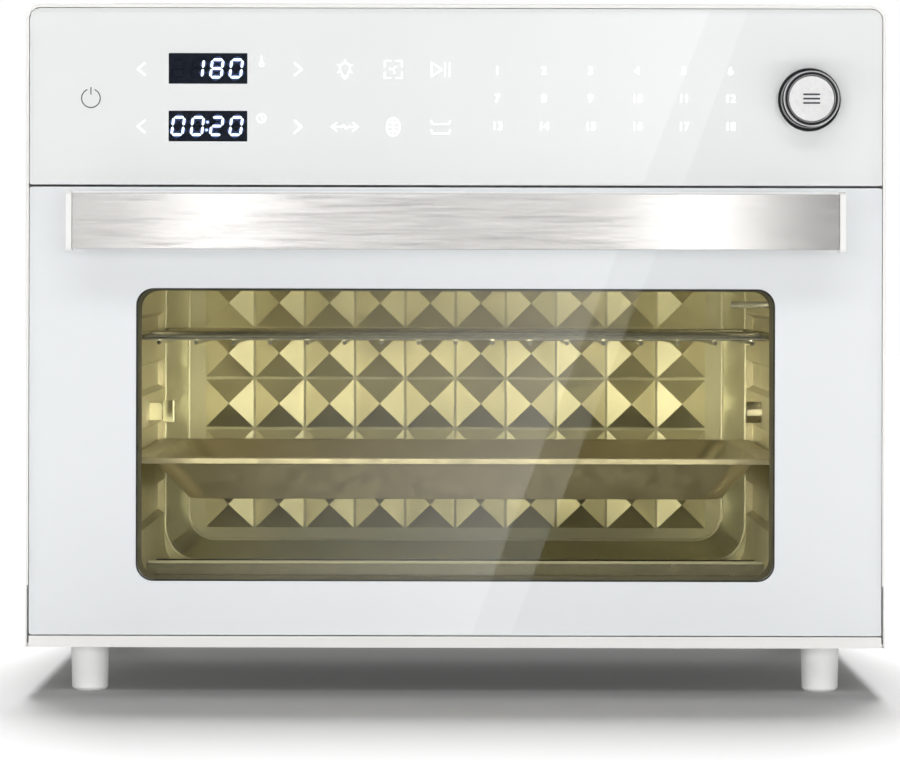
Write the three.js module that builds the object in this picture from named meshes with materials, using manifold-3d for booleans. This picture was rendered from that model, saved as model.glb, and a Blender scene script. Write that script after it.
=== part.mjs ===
// Countertop air fryer oven with a glass door that drops down in front of a heated cavity.
// Millimetres, +Z up, +X to the right of someone who faces the door, +Y to the back.
// Sizes are worked out with the front of the glass at y = 0 and the table at z = 0.
import * as THREE from "three";
import { mergeVertices } from "three/addons/utils/BufferGeometryUtils.js";
import Module from "manifold-3d";

const wasm = await Module();
wasm.setup();

// Cabinet
const cabinetWidth = 480;
const cabinetHeight = 359;
const cabinetDepth = 352;
const cabinetCornerRadius = 9;
const sheetWall = 1;
const rimWidth = 2;
const footHeight = 27;
const footRadius = 10.8;
const footInsetX = 33.3;
const footInsetY = 36;
const topPanelRise = 3;
const topPanelInsetX = 40;
const topPanelInsetY = 36;
const topPanelRamp = 5;
const railHeight = 6.3;
const footTaper = 0.6;
const footEdge = 1.5;
const footStem = 3;
const rearCoverDepth = 9;
const spacerLength = 10;
const spacerWidth = 30;
const spacerWall = 3;

// Gaps: between pieces that touch, around the door, and what a cut runs past its surface
const clearance = 0.3;
const doorGap = 0.6;
const panelGap = 1.3;
const panelMargin = 1.2;
const overrun = 1;

// Glass front
const glassThickness = 4;
const glassBevel = 1;
const glassCornerRadius = 6;
const controlHeight = 98.6;
const hingeSetback = 3.7;
const hingeRise = 52;

// Door window and the layers behind the outer glass
const windowInsetX = 59.5;
const windowBottomRise = 29.9;
const windowTopDrop = 56.5;
const windowRadius = 9.8;
const surroundDepth = 12;
const surroundWall = 2;
const surroundInset = 1;
const innerPanelDepth = 11.3;
const innerPanelInsetX = 38;
const innerPanelTopInset = 30;
const innerPanelWall = 1.2;
const innerWindowInset = 1.6;
const innerGlassThickness = 3.2;
const innerGlassLap = 8;

// Handle
const handleInset = 23.5;
const handleReach = 42;
const handleBow = 5;
const handleBarHeight = 30.6;
const handleBarThickness = 7;
const handleCapWidth = 3.6;
const handleCapHeight = 33.4;
const handleCapDepth = 11;
const handleCapRadius = 3;
const handleTopDrop = 2.8;
const handlePostInset = 22;
const handlePostWidth = 16;
const handlePostHeight = 20;

// Door hinge
const hingePinRadius = 1.5;
const hingeEyeRadius = 3.5;
const hingeArmThickness = 2;
const hingeArmLength = 60;
const hingeArmInset = 12;
const hingeBracketThickness = 3;
const hingeBracketFoot = 22;

// Cavity
const cavitySideSpace = 55.8;
const cavityFloorRise = 19;
const cavityTopDrop = 40.9;
const cavityBendRadius = 20;
const cavityRearSpace = 36;
const grooveDepth = 4;
const grooveFall = 2.5;
const grooveEndInset = 3;
const grooveLeanShare = 0.55;
const grooveTopShares = [0.838, 0.69, 0.495, 0.302];
const grooveHeightShares = [0.071, 0.0965, 0.0863, 0.109];
const frameOpeningMargin = 4.6;

// Pressed rear panel with its field of pyramids
const dishDepth = 14;
const dishRimInsetTop = 0.6;
const dishRimRise = 7.3;
const dishRimRadius = 21.6;
const dishFaceInsetX = 13.8;
const dishFaceInsetTop = 4.4;
const dishFaceRise = 12.4;
const dishFaceRadius = 17;
const dishFlange = 8;
const pyramidColumns = 10;
const pyramidRows = 5;
const pyramidSideMargin = 10.4;
const pyramidLowMargin = 7.1;
const pyramidHeight = 9;
const pyramidTopMargin = 5.2;
const pyramidTipShare = 0;
const pyramidPitShare = 0.4;

// Racks and trays
const rackGrooveIndex = 0;
const trayGrooveIndex = 2;
const rackFrontGap = 6.5;
const rackRearGap = 5;
const rackBarRadius = 1.8;
const rackRodRadius = 1.4;
const rackRodCount = 17;
const rackRodMargin = 17.8;
const runnerClearance = 2.4;
const rodSides = 4;
const trayRimFront = 8;
const trayFlange = 13;
const trayDepth = 22.9;
const traySideSlope = 21;
const trayEndSlope = 16;
const trayRadius = 14;
const trayWall = 1.2;
const trayEdgeDrop = 2;
const crumbTraySideGap = 9.8;
const crumbTrayFrontGap = 0.5;
const crumbTrayRearGap = 12;
const crumbTrayLip = 25.7;
const crumbTrayWall = 1;
const crumbTraySide = 6;

// Control panel
const displayWidth = 44;
const displayHeight = 17.2;
const displayInsetX = 77.4;
const displayDrops = [25, 57.2];
const displayModuleDepth = 7;
const carrierWall = 2;
const boardThickness = 1.6;
const boardSetback = 12;
const boardInsetX = 20;
const boardInsetZ = 9;
const knobInsetX = 41;
const knobDrop = 50.6;
const knobBaseRadius = 18;
const knobRingRadius = 15.5;
const knobCapRadius = 12.6;
const knobReach = 18;
const knobBaseThickness = 3;
const knobRoll = 1.6;
const knobDish = 7;
const capTravel = 1;
const shaftRadius = 3;
const encoderWidth = 14;
const encoderDepth = 6;

// Heating, fan and lamp
const fanGuardMargin = 14;
const guardSlotCount = 12;
const guardSlotWidth = 4.4;
const guardSlotLengthShare = 0.262;
const guardRingShares = [0.405, 0.762];
const guardSlotShare = 0.8;
const chamberSideGap = 56.2;
const chamberFrontGap = 14.5;
const chamberRearGap = 16;
const chamberHeight = 42;
const chamberFlange = 8;
const heaterRadius = 3.3;
const ringHeaterMargin = 30;
const ringHeaterRise = 10;
const ringHeaterLeadSpread = 24;
const rodHeaterRise = 11;
const rodHeaterFrontGap = 70.5;
const rodHeaterRearGap = 84;
const rodHeaterTail = 14;
const heaterCollarShare = 0.97;
const fanMargin = 26;
const fanBladeCount = 8;
const fanBladeHeight = 18;
const fanBladeWall = 1.4;
const fanHubRadius = 11;
const fanRise = 14;
const fanDiscWall = 1.4;
const motorShaftRadius = 3;
const motorRise = 18;
const motorWidth = 70;
const motorDepth = 60;
const motorHeight = 26;
const motorLegRadius = 2.5;
const coolingFanRadius = 34;
const coolingFanHeight = 9;
const lampSideGap = 23.2;
const lampFrontGap = 66.5;
const lampRadius = 17;
const lampBulbRadius = 9;
const lampCoverDrop = 5;
const lampHolderHeight = 34;
const lampFlange = 3;
const bulbArcShare = 1.6;

// Rotisserie, probe, door switch and cord gland
const spitSetback = 15;
const spitRiseShare = 0.5406;
const spitSocketRadius = 6.4;
const spitSocketReach = 9;
const spitMotorThickness = 20;
const spitMotorWidth = 42;
const spitBracketReach = 15;
const spitBracketWidth = 14;
const spitBracketHeight = 13;
const spitRodRadius = 4;
const probeFrontGap = 70.5;
const probeRiseShare = 0.873;
const probeRadius = 2;
const probeReach = 24;
const switchWidth = 12;
const switchHeight = 16;
const switchDepth = 18;
const switchSideGap = 34.2;
const switchRise = 19;
const plungerRadius = 2;
const glandRadius = 9;
const glandBore = 3.6;
const glandLength = 12;
const glandInsetX = 50;
const glandRise = 34;

const glandNeckShare = 0.72;

// Vents
const ventSlotWidth = 3.4;
const ventSlotLength = 26;
const ventPitch = 10;
const sideVentCount = 7;
const rearVentCount = 10;
const rearVentRows = 2;
const baseVentCount = 5;
const sideVentPlaceShare = 0.62;
const sideVentTopDrop = 65;
const rearVentRowShare = 1.4;
const baseVentShare = 0.26;

// Facets of round forms
const coarse = 6;
const medium = 10;
const fine = 24;
const footSides = 16;
const slotSteps = 1;
const cornerSteps = 3;
const bendSteps = 5;
const handleBarSteps = 13;

// Levels and planes that follow from the sizes above
const cabinetTop = footHeight + cabinetHeight;
const innerHalfWidth = cabinetWidth / 2 - sheetWall - clearance;
const doorHalfWidth = cabinetWidth / 2 - rimWidth;
const railTop = footHeight + railHeight;
const doorBottom = railTop + doorGap;
const panelTop = cabinetTop - sheetWall - panelMargin;
const panelBottom = panelTop - controlHeight;
const doorTop = panelBottom - panelGap;
const surroundFront = glassThickness + clearance;
const surroundBack = surroundFront + surroundDepth;
const innerPanelFront = surroundBack + clearance;
const innerPanelBack = innerPanelFront + innerPanelDepth;
const innerPanelHalfWidth = doorHalfWidth - innerPanelInsetX;
const frameFront = innerPanelBack + clearance;
const frameBack = frameFront + sheetWall;
const linerFront = frameBack + clearance;
const hingeY = surroundFront + hingeSetback;
const hingeZ = hingeRise;
const plateBottom = footHeight + sheetWall + clearance;
const plateTop = plateBottom + sheetWall;
const windowHalfWidth = doorHalfWidth - windowInsetX;
const windowBottom = doorBottom + windowBottomRise;
const windowTop = doorTop - windowTopDrop;
const rearInner = cabinetDepth - sheetWall;
const handleHalfSpan = doorHalfWidth - handleInset;

// The cavity and what it holds
const cavityHalfWidth = cabinetWidth / 2 - cavitySideSpace;
const cavityFloor = footHeight + cavityFloorRise;
const cavityCeiling = doorTop - cavityTopDrop;
const cavityHeight = cavityCeiling - cavityFloor;
const cavityRear = cabinetDepth - cavityRearSpace;
const ceilingBottom = cavityCeiling + clearance;
const ceilingTop = ceilingBottom + sheetWall;
const grooveTops = grooveTopShares.map((share) => cavityFloor + cavityHeight * share);
const grooveHeights = grooveHeightShares.map((share) => cavityHeight * share);
const rackFront = linerFront + rackFrontGap;
const rackRear = cavityRear - rackRearGap;
const crumbTrayHalfWidth = cavityHalfWidth - crumbTraySideGap;
const crumbTrayFront = linerFront + crumbTrayFrontGap;
const crumbTrayRear = cavityRear - crumbTrayRearGap;
const chamberHalfWidth = cavityHalfWidth - chamberSideGap;
const chamberFront = linerFront + chamberFrontGap;
const chamberRear = cavityRear - chamberRearGap;
const fanY = (chamberFront + chamberRear) / 2;
const chamberHalfDepth = (chamberRear - chamberFront) / 2;
const ringHeaterRadius = Math.min(chamberHalfWidth, chamberHalfDepth) - ringHeaterMargin;
const fanGuardRadius = ringHeaterRadius - fanGuardMargin;
const guardRingRadii = guardRingShares.map((share) => fanGuardRadius * share);
const guardSlotLength = fanGuardRadius * guardSlotLengthShare;
const fanRadius = ringHeaterRadius - fanMargin;
const rodHeaterYs = [linerFront + rodHeaterFrontGap, cavityRear - rodHeaterRearGap];
const lampX = lampSideGap - cavityHalfWidth;
const lampY = linerFront + lampFrontGap;
const spitY = fanY + spitSetback;
const spitZ = cavityFloor + cavityHeight * spitRiseShare;
const probeY = linerFront + probeFrontGap;
const probeZ = cavityFloor + cavityHeight * probeRiseShare;
const switchX = cavityHalfWidth - switchSideGap;
const switchZ = cavityCeiling + switchRise;

// Places on the control panel and the back
const displayLeft = doorHalfWidth - displayInsetX;
const displayTops = displayDrops.map((drop) => panelTop - drop);
const knobX = doorHalfWidth - knobInsetX;
const knobZ = panelTop - knobDrop;
const glandX = cabinetWidth / 2 - glandInsetX;
const glandZ = footHeight + glandRise;

// Joins and cuts
const weldDistance = 1e-4;
const quarterTurn = Math.PI / 2;

// A closed geometry as a solid that can be joined and cut, with its faces pointing out
function solid(geometry) {
  const bare = geometry.index ? geometry.toNonIndexed() : geometry.clone();
  bare.deleteAttribute("normal");
  bare.deleteAttribute("uv");
  const welded = mergeVertices(bare, weldDistance);
  const vertProperties = welded.attributes.position.array;
  const corners = Array.from(welded.index.array);
  const faces = [];
  for (let k = 0; k < corners.length; k += 3) {
    const [a, b, c] = corners.slice(k, k + 3);
    if (a !== b && b !== c && c !== a) faces.push(a, b, c);
  }
  const triVerts = new Uint32Array(faces);
  const made = new wasm.Manifold(new wasm.Mesh({ numProp: 3, vertProperties, triVerts }));
  if (made.volume() > 0) return made;
  triVerts.reverse();
  return new wasm.Manifold(new wasm.Mesh({ numProp: 3, vertProperties, triVerts }));
}

function geometryOf(body) {
  const { vertProperties, triVerts } = body.getMesh();
  const geometry = new THREE.BufferGeometry();
  geometry.setAttribute("position", new THREE.BufferAttribute(vertProperties, 3));
  geometry.setIndex(new THREE.BufferAttribute(triVerts, 1));
  geometry.computeVertexNormals();
  return geometry;
}

function join(bodies) {
  return bodies.reduce((whole, body) => whole.add(body));
}

function cut(body, tools) {
  return tools.reduce((rest, tool) => rest.subtract(tool), body);
}

// Moves or mirrors a finished solid
function shifted(body, x, y, z) {
  return solid(geometryOf(body).translate(x, y, z));
}

function mirrored(body) {
  return solid(geometryOf(body).scale(-1, 1, 1));
}

// Forms
function block(x0, x1, y0, y1, z0, z1) {
  const geometry = new THREE.BoxGeometry(x1 - x0, y1 - y0, z1 - z0);
  geometry.translate((x0 + x1) / 2, (y0 + y1) / 2, (z0 + z1) / 2);
  return solid(geometry);
}

function outlineOf(points) {
  return new THREE.Shape(points.map(([u, v]) => new THREE.Vector2(u, v)));
}

// A rectangle with round corners
function rounded(u0, u1, v0, v1, lowRadius, highRadius = lowRadius) {
  const shape = new THREE.Shape();
  shape.moveTo(u0 + lowRadius, v0);
  shape.lineTo(u1 - lowRadius, v0);
  if (lowRadius > 0) shape.absarc(u1 - lowRadius, v0 + lowRadius, lowRadius, -quarterTurn, 0);
  shape.lineTo(u1, v1 - highRadius);
  if (highRadius > 0) shape.absarc(u1 - highRadius, v1 - highRadius, highRadius, 0, quarterTurn);
  shape.lineTo(u0 + highRadius, v1);
  if (highRadius > 0) shape.absarc(u0 + highRadius, v1 - highRadius, highRadius, quarterTurn, Math.PI);
  if (lowRadius > 0) {
    shape.lineTo(u0, v0 + lowRadius);
    shape.absarc(u0 + lowRadius, v0 + lowRadius, lowRadius, Math.PI, Math.PI + quarterTurn);
  }
  return shape;
}

// The points of a closed outline, without those that fall on the next one
function separatePoints(points) {
  return points.filter((point, k) => point.distanceTo(points[(k + 1) % points.length]) > weldDistance);
}

function extruded(shape, depth, steps) {
  const points = shape.extractPoints(steps);
  const outline = new THREE.Shape(separatePoints(points.shape));
  outline.holes = points.holes.map((hole) => new THREE.Path(separatePoints(hole)));
  return new THREE.ExtrudeGeometry(outline, { depth, bevelEnabled: false, curveSegments: steps });
}

// An outline in x and y, from one level to another
function alongZ(shape, z0, z1, steps = cornerSteps) {
  return solid(extruded(shape, z1 - z0, steps).translate(0, 0, z0));
}

// An outline in x and z, from front to back
function alongY(shape, y0, y1, steps = cornerSteps) {
  return solid(extruded(shape, y1 - y0, steps).rotateX(quarterTurn).translate(0, y1, 0));
}

// An outline in y and z, from left to right
function alongX(shape, x0, x1, steps = cornerSteps) {
  const geometry = extruded(shape, x1 - x0, steps).rotateX(quarterTurn).rotateZ(quarterTurn);
  return solid(geometry.translate(x0, 0, 0));
}

function rod(from, to, radius, sides = coarse) {
  const start = new THREE.Vector3(...from);
  const end = new THREE.Vector3(...to);
  const direction = end.clone().sub(start);
  const geometry = new THREE.CylinderGeometry(radius, radius, direction.length(), sides);
  const turn = new THREE.Quaternion().setFromUnitVectors(
    new THREE.Vector3(0, 1, 0),
    direction.clone().normalize(),
  );
  const middle = start.add(end).multiplyScalar(1 / 2);
  return solid(geometry.applyQuaternion(turn).translate(middle.x, middle.y, middle.z));
}

// A profile of radius and height turned about an upright axis
function turned(profile, sides) {
  const points = profile.map(([radius, height]) => new THREE.Vector2(radius, height));
  return solid(new THREE.LatheGeometry(points, sides).rotateX(quarterTurn));
}

// The same with the axis pointing to the front: heights count towards the viewer
function turnedForward(profile, sides, x, z) {
  const points = profile.map(([radius, height]) => new THREE.Vector2(radius, height));
  const geometry = new THREE.LatheGeometry(points, sides).rotateX(Math.PI);
  return solid(geometry.translate(x, 0, z));
}

// A solid skinned over rings that all have the same number of points
function lofted(rings) {
  const count = rings[0].length;
  const corners = rings.flat();
  const faces = [];
  rings.slice(1).forEach((ring, level) => {
    ring.forEach((corner, k) => {
      const a = level * count + k;
      const b = level * count + ((k + 1) % count);
      faces.push(a, b, b + count, a, b + count, a + count);
    });
  });
  const last = (rings.length - 1) * count;
  for (let k = 1; k < count - 1; k += 1) {
    faces.push(0, k + 1, k);
    faces.push(last, last + k, last + k + 1);
  }
  const geometry = new THREE.BufferGeometry().setFromPoints(corners);
  geometry.setIndex(faces);
  return solid(geometry);
}

// The points of a rounded rectangle, always as many of them, counter-clockwise from its lower right corner
function roundedPoints(u0, u1, v0, v1, lowRadius, highRadius = lowRadius) {
  const corners = [
    [u1 - lowRadius, v0 + lowRadius, lowRadius, -1],
    [u1 - highRadius, v1 - highRadius, highRadius, 0],
    [u0 + highRadius, v1 - highRadius, highRadius, 1],
    [u0 + lowRadius, v0 + lowRadius, lowRadius, 2],
  ];
  return corners.flatMap(([u, v, radius, turn]) => {
    return Array.from({ length: cornerSteps + 1 }, (_, k) => {
      const angle = (turn + k / cornerSteps) * quarterTurn;
      return [u + Math.cos(angle) * radius, v + Math.sin(angle) * radius];
    });
  });
}

// One ring of a loft: a rounded rectangle that faces the front, or one that lies flat
function uprightRing(halfWidth, z0, z1, y, lowRadius, highRadius = lowRadius) {
  const points = roundedPoints(-halfWidth, halfWidth, z0, z1, lowRadius, highRadius);
  return points.map(([x, z]) => new THREE.Vector3(x, y, z));
}

function flatRing(halfWidth, y0, y1, radius, z) {
  return roundedPoints(-halfWidth, halfWidth, y0, y1, radius).map(([x, y]) => new THREE.Vector3(x, y, z));
}

// Round stock bent along a flat closed path
function wireLoop(points, radius, sides) {
  const up = new THREE.Vector3(0, 0, 1);
  const corners = points.flatMap((point, k) => {
    const before = points[(k + points.length - 1) % points.length];
    const after = points[(k + 1) % points.length];
    const outward = after.clone().sub(before).normalize().cross(up);
    return Array.from({ length: sides }, (_, step) => {
      const angle = (step / sides) * 2 * Math.PI;
      const across = outward.clone().multiplyScalar(Math.cos(angle) * radius);
      return point.clone().add(across).addScaledVector(up, Math.sin(angle) * radius);
    });
  });
  const faces = points.flatMap((_, k) => {
    const next = ((k + 1) % points.length) * sides;
    return Array.from({ length: sides }, (_, step) => {
      const turn = (step + 1) % sides;
      const [a, b] = [k * sides + step, k * sides + turn];
      return [a, b, next + turn, a, next + turn, next + step];
    }).flat();
  });
  const geometry = new THREE.BufferGeometry().setFromPoints(corners);
  geometry.setIndex(faces);
  return solid(geometry);
}

// Evenly spread places about a middle
function spread(count, pitch) {
  return Array.from({ length: count }, (_, k) => (k - (count - 1) / 2) * pitch);
}

// Finishes, one material for each piece
function finish(color, roughness, metalness, opacity = 1) {
  const transparent = opacity < 1;
  return new THREE.MeshStandardMaterial({ color, roughness, metalness, opacity, transparent });
}
const whiteSteel = () => finish("#f2f1ee", 0.45, 0.1);
const whitePlastic = () => finish("#ededeb", 0.5, 0);
const clearGlass = () => finish("#e5e8ea", 0.08, 0, 0.5);
const brushedSteel = () => finish("#d5d2cc", 0.32, 1);
const chromePlate = () => finish("#e8e8e8", 0.08, 1);
const cavitySteel = () => finish("#a9a577", 0.38, 0.8);
const darkSteel = () => finish("#6b6349", 0.4, 0.8);
const zincSteel = () => finish("#b9bcbf", 0.42, 0.9);
const blackPlastic = () => finish("#1b2233", 0.4, 0);

// The oven stands with the middle of its footprint at the origin
const oven = new THREE.Group();
const cabinet = new THREE.Group();
const door = new THREE.Group();
oven.add(cabinet, door);
oven.position.y = (handleReach - cabinetDepth - spacerLength) / 2;

function add(name, body, material, parent = cabinet) {
  const mesh = new THREE.Mesh(geometryOf(body), material);
  mesh.name = name;
  parent.add(mesh);
}

// Cabinet shell
function topPanel(rise, inset) {
  const halfWidth = cabinetWidth / 2 - topPanelInsetX - inset;
  const front = topPanelInsetY + inset;
  const back = cabinetDepth - topPanelInsetY - inset;
  const foot = cabinetTop - sheetWall / 2 - inset;
  const crown = cabinetTop + rise;
  const wide = flatRing(halfWidth, front, back, topPanelRamp * 2, foot);
  const narrow = flatRing(
    halfWidth - topPanelRamp,
    front + topPanelRamp,
    back - topPanelRamp,
    topPanelRamp,
    crown,
  );
  return lofted([wide, narrow]);
}

function outerHousing() {
  const half = cabinetWidth / 2;
  const skirt = footHeight - overrun;
  const shell = alongY(
    rounded(-half, half, footHeight, cabinetTop, 0, cabinetCornerRadius),
    0,
    cabinetDepth,
  );
  const hollow = alongY(
    rounded(-half + sheetWall, half - sheetWall, skirt, cabinetTop - sheetWall, 0, cabinetCornerRadius),
    sheetWall,
    cabinetDepth + overrun,
  );
  const mouth = alongY(
    rounded(
      -doorHalfWidth - clearance,
      doorHalfWidth + clearance,
      skirt,
      panelTop + clearance,
      0,
      glassCornerRadius,
    ),
    -overrun,
    sheetWall + overrun,
  );
  // The folded rim stops above the hinges, so that their side of the door has room to turn
  const reliefTop = hingeZ + hingeEyeRadius + hingeArmThickness * 3;
  const relief = block(
    -half + sheetWall,
    half - sheetWall,
    -overrun,
    sheetWall + overrun,
    skirt,
    reliefTop,
  );
  const flangeWidth = footInsetX / 3;
  const flanges = [-1, 1].map((side) => {
    const outer = side * (half - sheetWall / 2);
    const inner = side * (half - flangeWidth);
    const [x0, x1] = [Math.min(outer, inner), Math.max(outer, inner)];
    const front = sheetWall * 2 + clearance;
    return block(x0, x1, front, cabinetDepth, footHeight, footHeight + sheetWall);
  });
  const raised = topPanel(topPanelRise, 0);
  const raisedHollow = topPanel(topPanelRise - sheetWall, sheetWall);
  const vents = spread(sideVentCount, ventPitch).flatMap((place) => {
    const y0 = cabinetDepth * sideVentPlaceShare + place;
    const low = footHeight + ventSlotLength;
    const slot = alongX(
      rounded(y0, y0 + ventSlotWidth, low, low + ventSlotLength, ventSlotWidth / 2),
      -half - overrun,
      half + overrun,
      slotSteps,
    );
    return [slot, shifted(slot, 0, 0, cabinetTop - sideVentTopDrop - low - ventSlotLength)];
  });
  const walls = join([cut(shell, [hollow, mouth, relief]), raised, ...flanges]);
  return cut(walls, [raisedHollow, ...vents]);
}

function basePlate() {
  const plate = block(
    -innerHalfWidth,
    innerHalfWidth,
    clearance,
    rearInner - sheetWall - clearance * 2,
    plateBottom,
    plateTop,
  );
  const rail = block(
    -doorHalfWidth,
    doorHalfWidth,
    clearance,
    clearance + sheetWall,
    footHeight,
    railTop,
  );
  const sideLip = innerHalfWidth - sheetWall;
  const lipTop = plateTop + railHeight;
  const lips = [
    block(-innerHalfWidth, -sideLip, frameBack, rearInner / 2, plateBottom, lipTop),
    block(sideLip, innerHalfWidth, frameBack, rearInner / 2, plateBottom, lipTop),
  ];
  const footBores = footPlaces().map(([x, y]) => {
    return rod([x, y, plateBottom - overrun], [x, y, plateTop + overrun], footStem + clearance, medium);
  });
  const vents = spread(baseVentCount, ventPitch).flatMap((place) => {
    return [-1, 1].map((side) => {
      const x = side * cabinetWidth * baseVentShare + place;
      const y0 = cabinetDepth / 2;
      const slot = rounded(x, x + ventSlotWidth, y0, y0 + ventSlotLength, ventSlotWidth / 2);
      return alongZ(slot, plateBottom - overrun, plateTop + overrun, slotSteps);
    });
  });
  return cut(join([plate, rail, ...lips]), [...footBores, ...vents]);
}

function footPlaces() {
  const x = cabinetWidth / 2 - footInsetX;
  return [-x, x].flatMap((place) => [footInsetY, cabinetDepth - footInsetY].map((y) => [place, y]));
}

// A moulded foot: a slightly tapered cup with a rounded edge below and a stem through the base plate
function foot() {
  const top = plateBottom - clearance;
  return turned(
    [
      [0, 0],
      [footRadius - footTaper - footEdge, 0],
      [footRadius - footTaper, footEdge],
      [footRadius, top],
      [footStem, top],
      [footStem, plateTop + footStem],
      [0, plateTop + footStem],
    ],
    footSides,
  );
}

function rearCover() {
  const low = plateTop + clearance;
  const high = cabinetTop - sheetWall - clearance;
  const outline = (inset) => {
    const half = innerHalfWidth - inset;
    return rounded(-half, half, low + inset, high - inset, 0, cabinetCornerRadius - sheetWall);
  };
  const pan = alongY(outline(0), rearInner - rearCoverDepth, rearInner);
  const hollow = alongY(outline(sheetWall), rearInner - rearCoverDepth - overrun, rearInner - sheetWall);
  const slotTop = high - ventSlotLength;
  const vents = spread(rearVentCount, ventPitch).flatMap((x) => {
    return Array.from({ length: rearVentRows }, (_, row) => {
      const top = slotTop - row * ventSlotLength * rearVentRowShare;
      const slot = rounded(x, x + ventSlotWidth, top - ventSlotLength, top, ventSlotWidth / 2);
      return alongY(slot, rearInner - sheetWall - overrun, rearInner + overrun, slotSteps);
    });
  });
  const bore = rod(
    [glandX, rearInner - rearCoverDepth, glandZ],
    [glandX, rearInner + overrun, glandZ],
    glandRadius * glandNeckShare + clearance,
    medium,
  );
  return cut(pan, [hollow, bore, ...vents]);
}

function cordGland() {
  const neck = glandRadius * glandNeckShare;
  const inside = glandLength / 2;
  const profile = [
    [glandBore, -inside],
    [neck, -inside],
    [neck, clearance],
    [glandRadius, clearance],
    [glandRadius, glandLength / 4],
    [neck, glandLength / 2],
    [glandBore, glandLength / 2],
    [glandBore, -inside],
  ];
  const points = profile.map(([radius, height]) => new THREE.Vector2(radius, height));
  const geometry = new THREE.LatheGeometry(points, medium);
  return solid(geometry.translate(glandX, rearInner, glandZ));
}

// A spacer keeps the back of the cabinet off the wall
function rearSpacer(x) {
  const z = cabinetTop - cabinetHeight / 6;
  const back = cabinetDepth + spacerLength;
  const arm = block(
    x - spacerWidth / 2,
    x + spacerWidth / 2,
    rearInner + clearance,
    back,
    z,
    z + spacerWall,
  );
  const pad = alongY(
    rounded(x - spacerWidth / 2, x + spacerWidth / 2, z - spacerWidth / 2, z + spacerWidth / 2, spacerWall),
    rearInner + clearance,
    rearInner + clearance + spacerWall,
  );
  const rib = alongX(
    outlineOf([
      [rearInner + clearance, z - spacerWidth / 2],
      [back, z],
      [back, z + spacerWall],
      [rearInner + clearance, z + spacerWidth / 2],
    ]),
    x - spacerWall / 2,
    x + spacerWall / 2,
  );
  return join([pad, arm, rib]);
}

// Front frame: the steel plate that closes the cabinet around the cavity and carries the hinges
function frontFrame() {
  const low = plateTop + clearance;
  const high = cabinetTop - sheetWall - clearance;
  const plate = alongY(
    rounded(-innerHalfWidth, innerHalfWidth, low, high, 0, cabinetCornerRadius - sheetWall),
    frameFront,
    frameBack,
  );
  const openHalf = cavityHalfWidth + frameOpeningMargin;
  const opening = alongY(
    rounded(-openHalf, openHalf, cavityFloor, cavityCeiling, cavityBendRadius, frameOpeningMargin),
    frameFront - overrun,
    frameBack + overrun,
    cornerSteps,
  );
  const boardHalf = doorHalfWidth - boardInsetX;
  const boardWindow = alongY(
    rounded(-boardHalf, boardHalf, panelBottom + boardInsetZ, panelTop - boardInsetZ, carrierWall),
    frameFront - overrun,
    frameBack + overrun,
  );
  const plungerHole = rod(
    [switchX, frameFront - overrun, switchZ],
    [switchX, frameBack + overrun, switchZ],
    plungerRadius + clearance,
    medium,
  );
  return cut(plate, [opening, boardWindow, plungerHole]);
}

// Glass panes of the front, with a ground edge
function frontPane(z0, z1, lowRadius, highRadius) {
  const edge = doorHalfWidth - glassBevel;
  const ground = uprightRing(edge, z0 + glassBevel, z1 - glassBevel, 0, lowRadius, highRadius);
  const full = [glassBevel, glassThickness].map((y) => {
    return uprightRing(doorHalfWidth, z0, z1, y, lowRadius, highRadius);
  });
  return lofted([ground, ...full]);
}

// Control panel
const knobBore = shaftRadius + clearance * 2;

function controlGlass() {
  const pane = frontPane(panelBottom, panelTop, glassBevel, glassCornerRadius);
  const bore = rod([knobX, -overrun, knobZ], [knobX, glassThickness + overrun, knobZ], knobBore, medium);
  return cut(pane, [bore]);
}

// A display's place: its middle in x and its middle in z
function displayPlace(row) {
  return [-displayLeft + displayWidth / 2, displayTops[row] - displayHeight / 2];
}

function displayBlock(row, margin, y0, y1) {
  const [x, z] = displayPlace(row);
  const halfWidth = displayWidth / 2 + margin;
  const halfHeight = displayHeight / 2 + margin;
  return block(x - halfWidth, x + halfWidth, y0, y1, z - halfHeight, z + halfHeight);
}

// The moulded carrier: a tray behind the control glass with windows for the displays
function panelCarrier() {
  const low = panelBottom + surroundInset;
  const high = panelTop - surroundInset;
  const half = doorHalfWidth - surroundInset;
  const front = surroundFront;
  const back = frameFront - clearance;
  const outer = alongY(rounded(-half, half, low, high, 0, glassCornerRadius), front, back);
  const hollow = alongY(
    rounded(
      -half + carrierWall,
      half - carrierWall,
      low + carrierWall,
      high - carrierWall,
      0,
      glassCornerRadius,
    ),
    front + carrierWall,
    back + overrun,
  );
  const windows = displayTops.map((_, row) => displayBlock(
    row,
    clearance,
    front - overrun,
    front + carrierWall * 2,
  ));
  const bore = rod([knobX, front - overrun, knobZ], [knobX, back, knobZ], knobBore, medium);
  const ledge = boardLedge(front + carrierWall - overrun / 2);
  return cut(join([cut(outer, [hollow]), ...ledge]), [...windows, bore]);
}

// Pillars inside the carrier hold the control board
function boardLedge(front) {
  const seat = surroundFront + boardSetback - clearance;
  const x = doorHalfWidth - boardInsetX - boardInsetZ;
  const [low, high] = [panelBottom + boardInsetZ * 2, panelTop - boardInsetZ * 2];
  const places = [-x, x].flatMap((place) => [low, high].map((z) => [place, z]));
  return places.map(([place, z]) => rod([place, front, z], [place, seat, z], shaftRadius, coarse));
}

function controlBoard() {
  const half = doorHalfWidth - boardInsetX;
  const y = surroundFront + boardSetback;
  return block(
    -half,
    half,
    y,
    y + boardThickness,
    panelBottom + boardInsetZ * 3 / 2,
    panelTop - boardInsetZ * 3 / 2,
  );
}

function displayModule(row) {
  const y = surroundFront + boardSetback - clearance;
  return displayBlock(row, 0, y - displayModuleDepth, y);
}

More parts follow.
